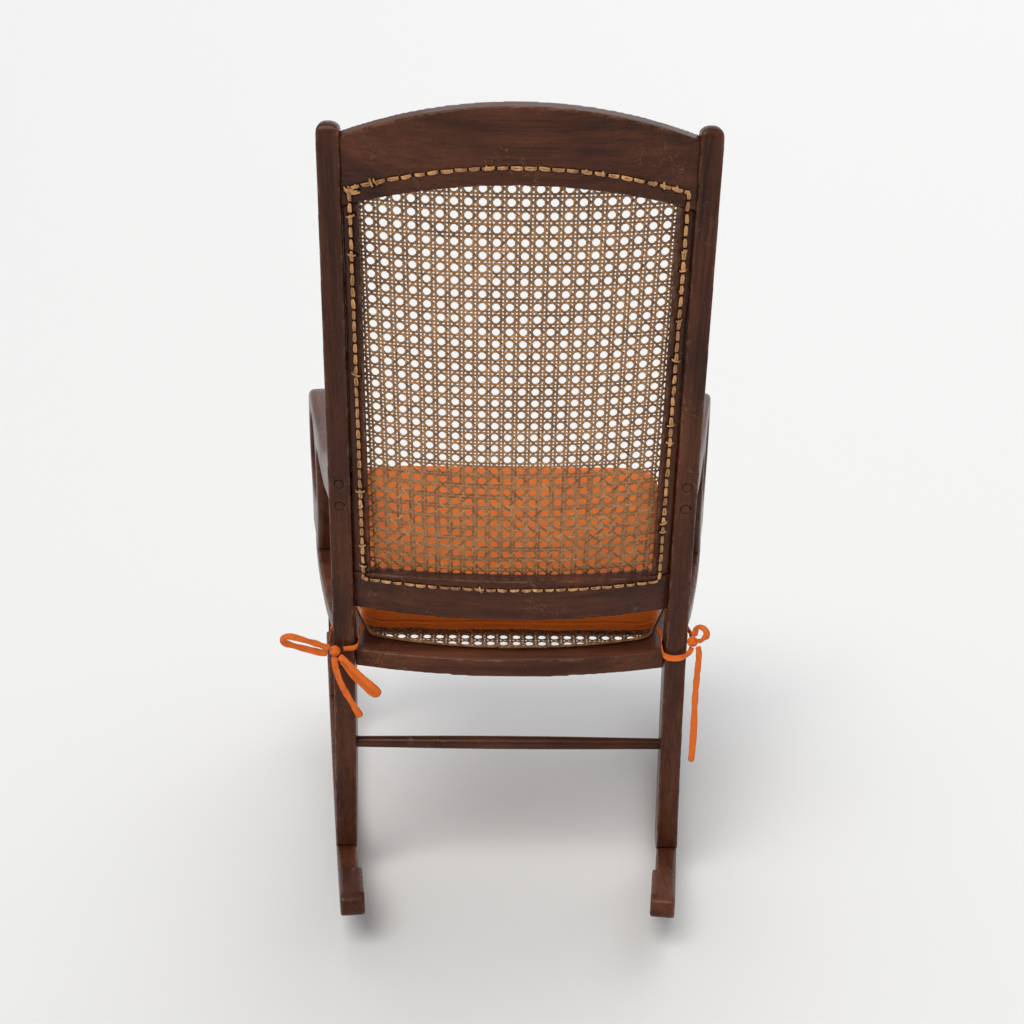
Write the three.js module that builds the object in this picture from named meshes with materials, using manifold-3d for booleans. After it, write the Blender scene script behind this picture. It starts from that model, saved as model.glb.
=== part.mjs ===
// A caned rocking chair with open scroll arms, a bowed cane back and a tie-on seat cushion.
//
// Millimetres, +Z up. The origin is on the floor under the middle of the chair. The sitter faces -Y,
// so the back leans towards +Y and the sitter's left is +X. "v" is a height measured up the slope of
// the back, "w" a distance out of it towards the rear, and "s" a distance along an arm or a rocker.
import * as THREE from "three";
import { mergeVertices } from "three/addons/utils/BufferGeometryUtils.js";
import Module from "manifold-3d";

const wasm = await Module();
wasm.setup();

const GAP = 0.3; // between pieces that touch
const DEG = Math.PI / 180;
const { lerp } = THREE.MathUtils;

// ---------------------------------------------------------------- driving dimensions

// overall: where the posts stand, how high the seat is and how long the back is
const POST_FOOT_X = 226.5; // posts' centre line, at the floor end
const SEAT_TOP_Z = 387; // top face of the seat frame, above the origin
const CREST_TOP = 653; // v of the crest's ends

// the back frame, a bowed panel between the posts
const BACK_TILT = 15.5 * DEG;
const PANEL_Y = 200; // lower edge of the panel's rear face, beside a post
const PANEL_Z = SEAT_TOP_Z + 53;
const BOW = 25; // how far the panel's middle stands behind its ends
const BOW_Z = SEAT_TOP_Z + 313; // height at which the bow spans exactly from post to post
const FRAME_THICKNESS = 17;
const LOWER_RAIL_HEIGHT = 59; // beside a post, along the slope
const LOWER_RAIL_RISE = 6; // extra height at its middle
const OPENING_TOP = CREST_TOP - 75; // v of the opening's upper corners
const OPENING_ARCH = 31;
const CREST_ARCH = 45;
const TENON = 12; // how far a rail is housed in a post
const STILE_SET_BACK = 1.5; // from the rails' rear faces
const CANE_THICKNESS = 2.4;
const CANE_HOLE_INSET = 9.5; // from the opening's edge to the line of cane holes
const CANE_MARGIN = 1.5; // cane beyond the line of holes

// back posts
const POST_TOP_Z = PANEL_Z + CREST_TOP * Math.cos(BACK_TILT) + 14.7; // crown of the rounded top
const POST_LEAN = 23.1; // how much nearer the middle the top is than the foot
const POST_TOP_X = POST_FOOT_X - POST_LEAN;
const POST_TOP_WIDTH = 25.5;
const POST_FOOT_WIDTH = 29.5;
const POST_PROUD = 5.4; // rear face behind the panel's
const POST_BEND_Z = SEAT_TOP_Z + 213; // straight above, curved below
const POST_FOOT_Z = 40; // inside the rocker, before the rocker cuts it
const POST_TOP_DEPTH = 26;
const POST_SEAT_DEPTH = 42;
const POST_SEAT_Z = SEAT_TOP_Z + 3;
const POST_FOOT_DEPTH = 33;
const FOOT_TILT = 0.03; // slope of the post at its foot, as a tangent
const OPENING_HALF_TOP = POST_TOP_X - 29.4;
const OPENING_HALF_BOTTOM = POST_FOOT_X - 46.5;

// seat frame, a flat ring that rises towards the front
const SEAT_TILT = 3.5 * DEG;
const SEAT_THICKNESS = 25;
const SEAT_REAR_Y = 219; // rear edge, at its middle
const SEAT_REAR_BOW = 27;
const SEAT_FRONT_Y = -306;
const SEAT_FRONT_BOW = 12;
const SEAT_REAR_HALF = POST_FOOT_X - 4.5; // outer half width just in front of the posts
const SEAT_FRONT_HALF = SEAT_REAR_HALF + 75;
const SEAT_CORNER = 34; // size of the rounded front corners
const SEAT_RAIL_WIDTH = 53; // at the front, and of the side rails' front ends
const REAR_RAIL_SHARE = 0.69; // the rear rail's width, as a share of that
const SEAT_REAR_JOINT_Y = 125;
const SEAT_FRONT_JOINT_Y = -215;
const BINDER_WIDTH = 5;
const BINDER_THICKNESS = 1.2;

// cushion
const CUSHION_REAR_Y = 158;
const CUSHION_FRONT_Y = -306;
const CUSHION_REAR_HALF = SEAT_REAR_HALF - 14;
const CUSHION_FRONT_HALF = SEAT_FRONT_HALF - 51;
const CUSHION_REAR_CORNER = 26;
const CUSHION_FRONT_CORNER = 30;
const CUSHION_THICKNESS = 52;

// arms, cut from an upright plank that runs outwards to the front
const ARM_FLARE = 9.4 * DEG;
const ARM_X = POST_FOOT_X - 12.5; // plank's centre line at s = 0
const ARM_Y = 215;
const ARM_THICKNESS = 32;
const ARM_ROUNDING = 7;
const ARM_JOINT_Z = SEAT_TOP_Z + 133; // glue line between the arm and the lower half of its scroll
const SCROLL_DOWEL_S = 376;
const SCROLL_DOWEL_DIAMETER = 9;
const SCROLL_DOWEL_LENGTH = 32;
const SCREW_HEIGHTS = [SEAT_TOP_Z + 245, SEAT_TOP_Z + 213];
const SCREW_SHANK = 5;
const SCREW_HEAD = 10;
const SCREW_HEAD_HEIGHT = 3;
const SCREW_DEPTH_IN_ARM = 20;
const PLUG_DIAMETER = 11;
const PLUG_LENGTH = 6;

// rockers
const ROCKER_RADIUS = 1000;
const ROCKER_CONTACT_Y = 4; // where the chair rests, below its balance point
const ROCKER_FACET = 64; // the sole is a chain of flats this long
const ROCKER_HEIGHT = 41;
const ROCKER_THICKNESS = 28;
const ROCKER_TOE = 6.9 * DEG; // the rockers run apart towards the front
const ROCKER_FOOT_X = POST_FOOT_X; // centre line where the back post stands on it
const ROCKER_FOOT_Y = 150;
const ROCKER_REAR = 189; // reach behind ROCKER_FOOT_Y
const ROCKER_FRONT = 563; // reach in front of it
const ROCKER_NOSE = 26; // length of the rounded ends
const ROCKER_BLOCK_LENGTH = 92; // raised, wider rear end
const ROCKER_BLOCK_RISE = 5;
const ROCKER_BLOCK_STEP = 4; // extra thickness on the inner side

// front legs
const LEG_Y = -259;
const LEG_TOP_X = SEAT_FRONT_HALF - 29;
const LEG_FOOT_X = LEG_TOP_X + 7;
const LEG_TOP_WIDTH = 32;
const LEG_FOOT_WIDTH = 27;
const LEG_TOP_DEPTH = 40;
const LEG_FOOT_DEPTH = 30;
const LEG_TENON_DIAMETER = 18;
const LEG_TENON_LENGTH = 15;
const LEG_FOOT_Z = 20; // inside the rocker, before the rocker cuts it
const FOOT_DOWEL_DIAMETER = 9;
const FOOT_DOWEL_LENGTH = 36;

// stretchers
const REAR_STRETCHER_Z = 218;
const FRONT_STRETCHER_Z = 190;
const STRETCHER_END = 15;
const REAR_STRETCHER_MIDDLE = 18.5;
const FRONT_STRETCHER_MIDDLE = 19.5;
const STRETCHER_SOCKET = 13;

// cushion ties: flat ribbon, each run a tube as thick as the ribbon is wide
const RIBBON_WIDTH = 7;
const KNOT_RADIUS = 6.5;
const LEFT_KNOT = [229, 209, 381];
const RIGHT_KNOT = [-238, 207, 398];
const TIE_ROUTES = {
  left_tie_inner: [
    [195.5, 159, 394.5], [197.5, 160.8, 392.8], [199.2, 164, 390.8], [200, 168, 389], [200, 173, 388],
    [200, 178, 387], [200, 183, 386.3], [200, 188, 385.8], [200, 192.5, 385.4], [200, 197, 385],
    [201.5, 203.5, 384.5], [206, 206, 384], [210, 206, 383.7], [214, 206.2, 383.3], [218, 206.5, 383],
  ],
  left_tie_outer: [
    [213, 147, 396], [216, 148.2, 394.9], [219, 149.5, 393.8], [222, 150.7, 392.6],
    [225, 151.8, 391.5], [228, 152.7, 390.5], [231, 153.5, 389.5], [236.5, 156, 388.5],
    [238, 160, 388], [238, 164.5, 387.5], [238, 171, 387], [238, 179, 386], [238, 187, 385],
    [238, 194, 384], [237.5, 200, 383],
  ],
  left_tie_upper_loop: [
    [236, 214, 388], [243, 215.5, 391], [251, 217, 395], [260, 219, 399], [270, 220.5, 403],
    [279, 221, 406], [287, 220.5, 407], [293, 219, 404.5], [295, 216.5, 399], [292, 214, 394],
    [285, 213, 391], [276, 212.5, 388], [266, 212, 385], [256, 211.5, 382], [247, 211, 379.5],
    [239, 210.5, 378.5],
  ],
  left_tie_lower_loop: [
    [223, 214, 376], [216, 216, 371], [208, 218, 364], [199, 220, 355], [190, 221, 346],
    [182, 221, 338], [175.5, 220, 331], [173, 218, 325], [176.5, 216, 321], [183, 214.5, 324],
    [190, 213.5, 331], [198, 212.5, 339], [206, 211.5, 348], [214, 210.5, 358], [221, 210, 367],
  ],
  left_tie_tail: [
    [230, 209, 373], [229.5, 209.5, 366], [228.5, 210, 357], [226.5, 210, 347], [223.5, 209.5, 337],
    [220, 209, 328], [216, 208.5, 319], [212, 208, 311], [208, 207, 303], [204, 206.5, 295],
    [200.5, 206, 288], [198, 205.5, 282],
  ],
  right_tie_inner: [
    [-195.5, 159, 394.5], [-197.5, 160.8, 392.8], [-199.2, 164, 390.8], [-200, 168, 389],
    [-200, 173, 388], [-200, 178, 387], [-200, 183, 386], [-200, 190, 384], [-200, 197, 381],
    [-202, 203.5, 377], [-207, 205, 374], [-213, 204.5, 372.5], [-219, 204.5, 372.5], [-225, 205, 374],
    [-231, 206.5, 378], [-235.5, 207, 384], [-237.5, 207, 389.5],
  ],
  right_tie_outer: [
    [-213, 147, 396], [-216, 148.2, 395.3], [-219, 149.5, 394.6], [-222, 150.7, 393.9],
    [-225, 151.8, 393.2], [-228, 152.7, 392.8], [-231, 153.5, 392.5], [-236.5, 156, 392.5],
    [-238, 160, 393], [-238, 165, 393.7], [-238.5, 170, 394.4], [-238.5, 177, 395.3],
    [-238.5, 184, 396.2], [-238.5, 191.5, 397], [-238.5, 198.3, 397.5],
  ],
  right_tie_loop: [
    [-243, 214, 402], [-247, 217, 405], [-251, 220, 409], [-253.5, 222, 414], [-253, 222.5, 420],
    [-249, 221, 424.5], [-243.5, 219, 425], [-240.5, 216, 421.5], [-240, 213, 415], [-239.5, 210, 408],
  ],
  right_tie_tail: [
    [-245, 210, 393], [-246.5, 210.5, 386], [-247, 210.5, 377], [-246.8, 210, 366],
    [-246.4, 209.5, 354], [-246, 209, 341], [-245.8, 208.5, 328], [-245.8, 208, 315],
    [-246, 207.5, 302], [-246.3, 207, 289], [-246.6, 206.5, 276], [-246.8, 206, 262],
    [-246.8, 205.5, 248], [-246.5, 205, 234], [-246, 204.8, 218],
  ],
};

// ---------------------------------------------------------------- solids and placing

// A closed three.js geometry as a manifold solid, and back.
function solid(geometry) {
  const bare = geometry.index ? geometry.clone() : geometry;
  bare.deleteAttribute("normal");
  bare.deleteAttribute("uv");
  const merged = mergeVertices(bare, 1e-4);
  return new wasm.Manifold(
    new wasm.Mesh({
      numProp: 3,
      vertProperties: merged.attributes.position.array,
      triVerts: new Uint32Array(merged.index.array),
    }),
  );
}

function geometryOf(shape) {
  const mesh = shape.getMesh();
  const geometry = new THREE.BufferGeometry();
  geometry.setAttribute("position", new THREE.BufferAttribute(mesh.vertProperties, 3));
  geometry.setIndex(new THREE.BufferAttribute(mesh.triVerts, 1));
  return geometry;
}

// The mirror image in the chair's middle plane, with its faces turned to point outwards again.
function mirrored(shape) {
  const geometry = geometryOf(shape).scale(-1, 1, 1);
  const corners = geometry.index.array;
  for (let i = 0; i < corners.length; i += 3) [corners[i], corners[i + 1]] = [corners[i + 1], corners[i]];
  return solid(geometry);
}

// Turns for outlines drawn in the side view (y, z), extruded along X, and in the rear view (x, z).
const SIDE_VIEW = new THREE.Matrix4().makeBasis(
  new THREE.Vector3(0, 1, 0),
  new THREE.Vector3(0, 0, 1),
  new THREE.Vector3(1, 0, 0),
);
const REAR_VIEW = new THREE.Matrix4().makeBasis(
  new THREE.Vector3(1, 0, 0),
  new THREE.Vector3(0, 0, 1),
  new THREE.Vector3(0, -1, 0),
);

// An outline extruded through `thickness` about its own plane, with rounded arrises if asked.
function plank(shape, thickness, rounding = 0, curveSegments = 10) {
  const outline = shape.getPoints(curveSegments);
  if (THREE.ShapeUtils.isClockWise(outline)) outline.reverse(); // as an outline with a hole has to be
  const flat = new THREE.Shape(outline);
  flat.holes = shape.holes.map((hole) => new THREE.Path(hole.getPoints(curveSegments)));
  const geometry = new THREE.ExtrudeGeometry(flat, {
    depth: thickness - 2 * rounding,
    bevelEnabled: rounding > 0,
    bevelThickness: rounding,
    bevelSize: rounding,
    bevelOffset: -rounding,
    bevelSegments: 2,
  });
  return geometry.translate(0, 0, rounding - thickness / 2);
}

function boxBetween(low, high) {
  const size = new THREE.Vector3().subVectors(high, low);
  const middle = new THREE.Vector3().addVectors(low, high).multiplyScalar(0.5);
  return solid(new THREE.BoxGeometry(...size.toArray()).translate(...middle.toArray()));
}

const FAR = 2000; // beyond every piece
const BEYOND = 50; // a seat-shaped slab this much wider than the seat cuts whatever stands on it
const above = (z) => boxBetween(new THREE.Vector3(-FAR, -FAR, z), new THREE.Vector3(FAR, FAR, FAR));
const below = (z) => boxBetween(new THREE.Vector3(-FAR, -FAR, -FAR), new THREE.Vector3(FAR, FAR, z));
const behind = (y) => boxBetween(new THREE.Vector3(-FAR, y, -FAR), new THREE.Vector3(FAR, FAR, FAR));
const before = (y) => boxBetween(new THREE.Vector3(-FAR, -FAR, -FAR), new THREE.Vector3(FAR, y, FAR));

// A cylinder from `start` along `direction`.
function rod(diameter, length, start, direction, sides = 16) {
  const along = direction.clone().normalize();
  const turn = new THREE.Quaternion().setFromUnitVectors(new THREE.Vector3(0, 1, 0), along);
  const middle = start.clone().addScaledVector(along, length / 2);
  const geometry = new THREE.CylinderGeometry(diameter / 2, diameter / 2, length, sides);
  return solid(geometry.applyQuaternion(turn).translate(...middle.toArray()));
}

// ---------------------------------------------------------------- back posts

const POST_SLOPE = Math.tan(BACK_TILT);

function postRearY(z) {
  const bendY = PANEL_Y + POST_PROUD + (POST_BEND_Z - PANEL_Z) * POST_SLOPE;
  if (z >= POST_BEND_Z) return bendY + (z - POST_BEND_Z) * POST_SLOPE;
  const drop = POST_BEND_Z - z;
  const curvature = (POST_SLOPE - FOOT_TILT) / (POST_BEND_Z - POST_FOOT_Z);
  return bendY - drop * POST_SLOPE + (curvature * drop * drop) / 2;
}

function postDepth(z) {
  if (z > POST_SEAT_Z) {
    const share = (z - POST_SEAT_Z) / (POST_TOP_Z - POST_SEAT_Z);
    return lerp(POST_SEAT_DEPTH, POST_TOP_DEPTH, Math.sin((share * Math.PI) / 2));
  }
  const share = (POST_SEAT_Z - z) / (POST_SEAT_Z - POST_FOOT_Z);
  return lerp(POST_SEAT_DEPTH, POST_FOOT_DEPTH, Math.sin((share * Math.PI) / 2));
}

const postFrontY = (z) => postRearY(z) - postDepth(z);
const postCentreY = (z) => postRearY(z) - postDepth(z) / 2;
const postCentreX = (z) => lerp(POST_FOOT_X, POST_TOP_X, z / POST_TOP_Z);
const postWidth = (z) => lerp(POST_FOOT_WIDTH, POST_TOP_WIDTH, z / POST_TOP_Z);
const postInnerX = (z) => postCentreX(z) - postWidth(z) / 2;

// The post's outline in the side view, `grow` larger all round.
function postSide(grow = 0) {
  const crown = POST_TOP_DEPTH / 2 + grow;
  const shoulderZ = POST_TOP_Z + grow - crown;
  const shape = new THREE.Shape();
  const steps = 18;
  const level = (i) => lerp(POST_FOOT_Z, shoulderZ, i / steps);
  shape.moveTo(postFrontY(POST_FOOT_Z) - grow, POST_FOOT_Z - grow);
  shape.lineTo(postRearY(POST_FOOT_Z) + grow, POST_FOOT_Z - grow);
  for (let i = 1; i <= steps; i++) shape.lineTo(postRearY(level(i)) + grow, level(i));
  shape.absarc(postCentreY(shoulderZ), shoulderZ, crown, 0.12, Math.PI - 0.12);
  for (let i = steps; i >= 1; i--) shape.lineTo(postFrontY(level(i)) - grow, level(i));
  return shape;
}

// Its outline seen from behind: leaning inwards, with a domed top.
function postRear(grow = 0) {
  const half = POST_TOP_WIDTH / 2 + grow;
  const shoulderZ = POST_TOP_Z + grow - half * 0.8;
  const shape = new THREE.Shape();
  shape.moveTo(POST_FOOT_X - POST_FOOT_WIDTH / 2 - grow, -grow);
  shape.lineTo(POST_FOOT_X + POST_FOOT_WIDTH / 2 + grow, -grow);
  shape.lineTo(postCentreX(shoulderZ) + half, shoulderZ);
  shape.absellipse(postCentreX(shoulderZ), shoulderZ, half, half * 0.8, 0, Math.PI);
  return shape;
}

function postBlank(grow = 0) {
  const side = solid(plank(postSide(grow), FAR, 0, 7).applyMatrix4(SIDE_VIEW));
  const rear = solid(plank(postRear(grow), FAR, 0, 7).applyMatrix4(REAR_VIEW));
  return side.intersect(rear);
}

// ---------------------------------------------------------------- bowed pieces of the back

const bowAt = (x) => BOW * (1 - (x / postInnerX(BOW_Z)) ** 2);
const crestLow = (x) => OPENING_TOP + OPENING_ARCH * (1 - (x / OPENING_HALF_TOP) ** 2);
const crestHigh = (x) => CREST_TOP + CREST_ARCH * (1 - (x / postInnerX(POST_TOP_Z)) ** 2);
const lowerHigh = (x) => LOWER_RAIL_HEIGHT + LOWER_RAIL_RISE * (1 - (x / OPENING_HALF_BOTTOM) ** 2);
const slopeZ = (v) => PANEL_Z + v * Math.cos(BACK_TILT);

function openingHalf(v) {
  return lerp(OPENING_HALF_BOTTOM, OPENING_HALF_TOP, (v - LOWER_RAIL_HEIGHT) / (OPENING_TOP - LOWER_RAIL_HEIGHT));
}

// A point of the back: x across, v up the slope, w out towards the rear.
function onBack(x, v, w) {
  const out = bowAt(x) + w;
  return new THREE.Vector3(
    x,
    PANEL_Y + v * Math.sin(BACK_TILT) + out * Math.cos(BACK_TILT),
    slopeZ(v) - out * Math.sin(BACK_TILT),
  );
}

// A box bent to the back: `across` gives x from (share, v), `up` gives v from (share, x).
function bowedPiece({ across, up, rear, front, columns, rows }) {
  const geometry = new THREE.BoxGeometry(1, 1, 1, columns, rows, 1);
  const places = geometry.attributes.position;
  for (let i = 0; i < places.count; i++) {
    const rowShare = places.getY(i) + 0.5;
    const x = across(places.getX(i) + 0.5, rowShare);
    const v = up(rowShare, x);
    const point = onBack(x, v, places.getZ(i) > 0 ? front : rear);
    places.setXYZ(i, point.x, point.y, point.z);
  }
  return solid(geometry);
}

// A rail from post to post. Its ends are housed in the posts, and `grow` makes the housing.
function bowedRail(low, high, housingZ, grow = 0) {
  const half = postInnerX(housingZ) + TENON + grow;
  return bowedPiece({
    across: (share) => lerp(-half, half, share),
    up: (share, x) => lerp(low(x) - grow, high(x) + grow, share),
    rear: grow,
    front: -FRAME_THICKNESS - grow,
    columns: 16,
    rows: 1,
  });
}

const crestRail = (grow = 0) => bowedRail(crestLow, crestHigh, slopeZ(CREST_TOP), grow);
const lowerRail = (grow = 0) => bowedRail(() => 0, lowerHigh, slopeZ(LOWER_RAIL_HEIGHT), grow);

function backStile() {
  const middleV = (share) => lerp(LOWER_RAIL_HEIGHT, OPENING_TOP, share);
  return bowedPiece({
    across: (share, row) =>
      lerp(openingHalf(middleV(row)), postInnerX(slopeZ(middleV(row))) - GAP, share),
    up: (share, x) => lerp(lowerHigh(x) + GAP, crestLow(x) - GAP, share),
    rear: -STILE_SET_BACK,
    front: -FRAME_THICKNESS,
    columns: 2,
    rows: 6,
  });
}

function backCane() {
  const reach = CANE_HOLE_INSET + CANE_MARGIN;
  return bowedPiece({
    across: (share, row) => {
      const half = openingHalf(lerp(LOWER_RAIL_HEIGHT, OPENING_TOP, row)) + reach;
      return lerp(-half, half, share);
    },
    up: (share, x) => lerp(lowerHigh(x) - reach, crestLow(x) + reach, share),
    rear: -FRAME_THICKNESS - GAP,
    front: -FRAME_THICKNESS - GAP - CANE_THICKNESS,
    columns: 16,
    rows: 2,
  });
}

// ---------------------------------------------------------------- seat

// From the seat's own plane, whose top face is z = 0, to the chair.
const SEAT_PLACE = new THREE.Matrix4()
  .makeTranslation(0, 0, SEAT_TOP_Z)
  .multiply(new THREE.Matrix4().makeRotationX(-SEAT_TILT));
const seatTopZ = (y) => SEAT_TOP_Z - y * Math.tan(SEAT_TILT);

// Half of the seat's edge, moved inwards by `inset` and less at the rear, from the rear middle round to the front middle.
function seatHalf(inset) {
  const rearX = SEAT_REAR_HALF - inset * REAR_RAIL_SHARE;
  const frontX = SEAT_FRONT_HALF - inset;
  const rearY = SEAT_REAR_Y - inset * REAR_RAIL_SHARE;
  const frontY = SEAT_FRONT_Y + inset;
  const bell = [0.36, 0.6, 0.8, 0.95]; // how much of the widening each point of the side has
  const sideTop = rearY - SEAT_REAR_BOW - 30;
  const sideEnd = frontY + SEAT_FRONT_BOW + SEAT_CORNER;
  const path = new THREE.Path();
  path.moveTo(0, rearY);
  path.quadraticCurveTo(rearX * 0.5, rearY, rearX - 17, rearY - SEAT_REAR_BOW);
  path.quadraticCurveTo(rearX - 2, rearY - SEAT_REAR_BOW - 8, rearX, sideTop);
  path.splineThru(
    bell.map((share, i) => {
      const y = lerp(sideTop, sideEnd, (i + 1) / (bell.length + 1));
      return new THREE.Vector2(lerp(rearX, frontX, share), y);
    }).concat(new THREE.Vector2(frontX, sideEnd)),
  );
  path.quadraticCurveTo(frontX, frontY + SEAT_FRONT_BOW + 4, frontX - SEAT_CORNER, frontY + SEAT_FRONT_BOW);
  path.quadraticCurveTo(frontX * 0.5, frontY, 0, frontY);
  return path.getPoints(4);
}

function seatOutline(inset) {
  const half = seatHalf(inset);
  const other = half.slice(1, -1).reverse().map((p) => new THREE.Vector2(-p.x, p.y));
  return half.concat(other).reverse(); // anticlockwise, as an outline with a hole has to be
}

function seatRing(outer, inner, low, high) {
  const shape = new THREE.Shape(seatOutline(outer));
  if (inner !== null) shape.holes.push(new THREE.Path(seatOutline(inner)));
  const slab = new THREE.ExtrudeGeometry(shape, { depth: high - low, bevelEnabled: false });
  return solid(slab.translate(0, 0, low).applyMatrix4(SEAT_PLACE));
}

const HOLE_LINE = SEAT_RAIL_WIDTH - CANE_HOLE_INSET;
const CANE_LOW = GAP;
const CANE_HIGH = CANE_LOW + CANE_THICKNESS;
const BINDER_HIGH = CANE_HIGH + GAP + BINDER_THICKNESS;

function cushion() {
  const rear = CUSHION_REAR_CORNER;
  const front = CUSHION_FRONT_CORNER;
  const frontSide = CUSHION_FRONT_Y + front * 1.4;
  const shape = new THREE.Shape();
  shape.moveTo(-CUSHION_REAR_HALF + rear, CUSHION_REAR_Y);
  shape.lineTo(CUSHION_REAR_HALF - rear, CUSHION_REAR_Y);
  shape.quadraticCurveTo(CUSHION_REAR_HALF, CUSHION_REAR_Y, CUSHION_REAR_HALF, CUSHION_REAR_Y - rear);
  shape.lineTo(CUSHION_FRONT_HALF, frontSide);
  shape.quadraticCurveTo(CUSHION_FRONT_HALF, CUSHION_FRONT_Y, CUSHION_FRONT_HALF - front, CUSHION_FRONT_Y);
  shape.lineTo(-CUSHION_FRONT_HALF + front, CUSHION_FRONT_Y);
  shape.quadraticCurveTo(-CUSHION_FRONT_HALF, CUSHION_FRONT_Y, -CUSHION_FRONT_HALF, frontSide);
  shape.lineTo(-CUSHION_REAR_HALF, CUSHION_REAR_Y - rear);
  shape.quadraticCurveTo(-CUSHION_REAR_HALF, CUSHION_REAR_Y, -CUSHION_REAR_HALF + rear, CUSHION_REAR_Y);
  const pad = plank(shape, CUSHION_THICKNESS, CUSHION_THICKNESS * 0.36, 6);
  pad.translate(0, 0, BINDER_HIGH + GAP + CUSHION_THICKNESS / 2);
  return solid(pad.applyMatrix4(SEAT_PLACE));
}

// ---------------------------------------------------------------- arms

// From the plank's own plane, s forwards and z up from the seat, to the sitter's left of the chair.
const ARM_PLACE = new THREE.Matrix4()
  .makeTranslation(ARM_X, ARM_Y, SEAT_TOP_Z)
  .multiply(
    new THREE.Matrix4().makeBasis(
      new THREE.Vector3(Math.sin(ARM_FLARE), -Math.cos(ARM_FLARE), 0),
      new THREE.Vector3(0, 0, 1),
      new THREE.Vector3(-Math.cos(ARM_FLARE), -Math.sin(ARM_FLARE), 0),
    ),
  );

// The whole scroll in the side view: arm, loop and foot, with the loop's opening.
function armShape() {
  const shape = new THREE.Shape();
  shape.moveTo(-20, 201);
  shape.lineTo(-20, 273);
  shape.bezierCurveTo(40, 259, 90, 232, 140, 226);
  shape.bezierCurveTo(220, 214, 290, 211, 370, 218);
  shape.bezierCurveTo(430, 222, 471, 223, 474, 186);
  shape.bezierCurveTo(475, 143, 470, 113, 452, 87);
  shape.bezierCurveTo(436, 65, 428, 43, 432, -7);
  shape.lineTo(322, -7);
  shape.bezierCurveTo(318, 41, 296, 53, 294, 91);
  shape.bezierCurveTo(292, 128, 313, 155, 300, 167);
  shape.bezierCurveTo(284, 181, 180, 168, 110, 180);
  shape.bezierCurveTo(60, 189, 20, 199, -20, 201);
  const opening = new THREE.Path();
  opening.moveTo(322, 105);
  opening.bezierCurveTo(320, 146, 338, 185, 392, 189);
  opening.bezierCurveTo(436, 191, 448, 175, 447, 151);
  opening.bezierCurveTo(446, 113, 424, 77, 372, 75);
  opening.bezierCurveTo(340, 74, 324, 83, 322, 105);
  shape.holes.push(opening);
  return shape;
}

function armWhole() {
  const postSlab = solid(plank(postSide(GAP), FAR, 0, 7).applyMatrix4(SIDE_VIEW));
  const scroll = plank(armShape(), ARM_THICKNESS, ARM_ROUNDING, 6).applyMatrix4(ARM_PLACE);
  const inFront = boxBetween(new THREE.Vector3(0, -FAR, 0), new THREE.Vector3(FAR, postRearY(POST_BEND_Z), FAR));
  return solid(scroll).subtract(postSlab).intersect(inFront);
}

const armPoint = (s, z) => new THREE.Vector3(s, z, 0).applyMatrix4(ARM_PLACE);
const ALONG_REARWARDS = new THREE.Vector3(0, 1, 0);
const UP = new THREE.Vector3(0, 0, 1);

// Screws run level from the back of the post into the end of the arm.
const screwX = (z) => postCentreX(z);
const screwLength = (z) => postDepth(z) + SCREW_DEPTH_IN_ARM - PLUG_LENGTH - GAP;

function screw(z, grow = 0) {
  const tipY = postFrontY(z) - SCREW_DEPTH_IN_ARM;
  const start = new THREE.Vector3(screwX(z), tipY - grow, z);
  const headStart = new THREE.Vector3(screwX(z), tipY + screwLength(z) - SCREW_HEAD_HEIGHT - grow, z);
  const shank = rod(SCREW_SHANK + 2 * grow, screwLength(z) + grow, start, ALONG_REARWARDS, 10);
  const head = rod(SCREW_HEAD + 2 * grow, SCREW_HEAD_HEIGHT + 2 * grow, headStart, ALONG_REARWARDS, 10);
  return shank.add(head);
}

// The plug is trimmed to the post's rear face; grown, it is the counterbore.
function plug(z, grow = 0) {
  const start = new THREE.Vector3(screwX(z), postRearY(z) - PLUG_LENGTH - grow, z);
  const peg = rod(PLUG_DIAMETER + 2 * grow, PLUG_LENGTH * 3, start, ALONG_REARWARDS, 14);
  return grow > 0 ? peg : peg.intersect(postBlank());
}

function scrollDowel(grow = 0) {
  const place = armPoint(SCROLL_DOWEL_S, 0);
  const start = new THREE.Vector3(place.x, place.y, seatTopZ(place.y) - SCROLL_DOWEL_LENGTH / 2 - grow);
  return rod(SCROLL_DOWEL_DIAMETER + 2 * grow, SCROLL_DOWEL_LENGTH + 2 * grow, start, UP, 10);
}

// ---------------------------------------------------------------- rockers and legs

const ROCKER_PLACE = new THREE.Matrix4()
  .makeTranslation(ROCKER_FOOT_X, ROCKER_FOOT_Y, 0)
  .multiply(
    new THREE.Matrix4().makeBasis(
      new THREE.Vector3(-Math.sin(ROCKER_TOE), Math.cos(ROCKER_TOE), 0),
      new THREE.Vector3(0, 0, 1),
      new THREE.Vector3(Math.cos(ROCKER_TOE), Math.sin(ROCKER_TOE), 0),
    ),
  );
const CONTACT_S = (ROCKER_CONTACT_Y - ROCKER_FOOT_Y) / Math.cos(ROCKER_TOE);

// Height of the sole's arc above the floor, s along the rocker and positive towards the rear.
function soleZ(s) {
  const arc = (d) => ROCKER_RADIUS - Math.sqrt(ROCKER_RADIUS ** 2 - d ** 2);
  return Math.max(0, arc(Math.abs(s - CONTACT_S)) - arc(ROCKER_FACET / 2));
}

const rockerTopZ = (s) => soleZ(s) + ROCKER_HEIGHT;

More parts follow.
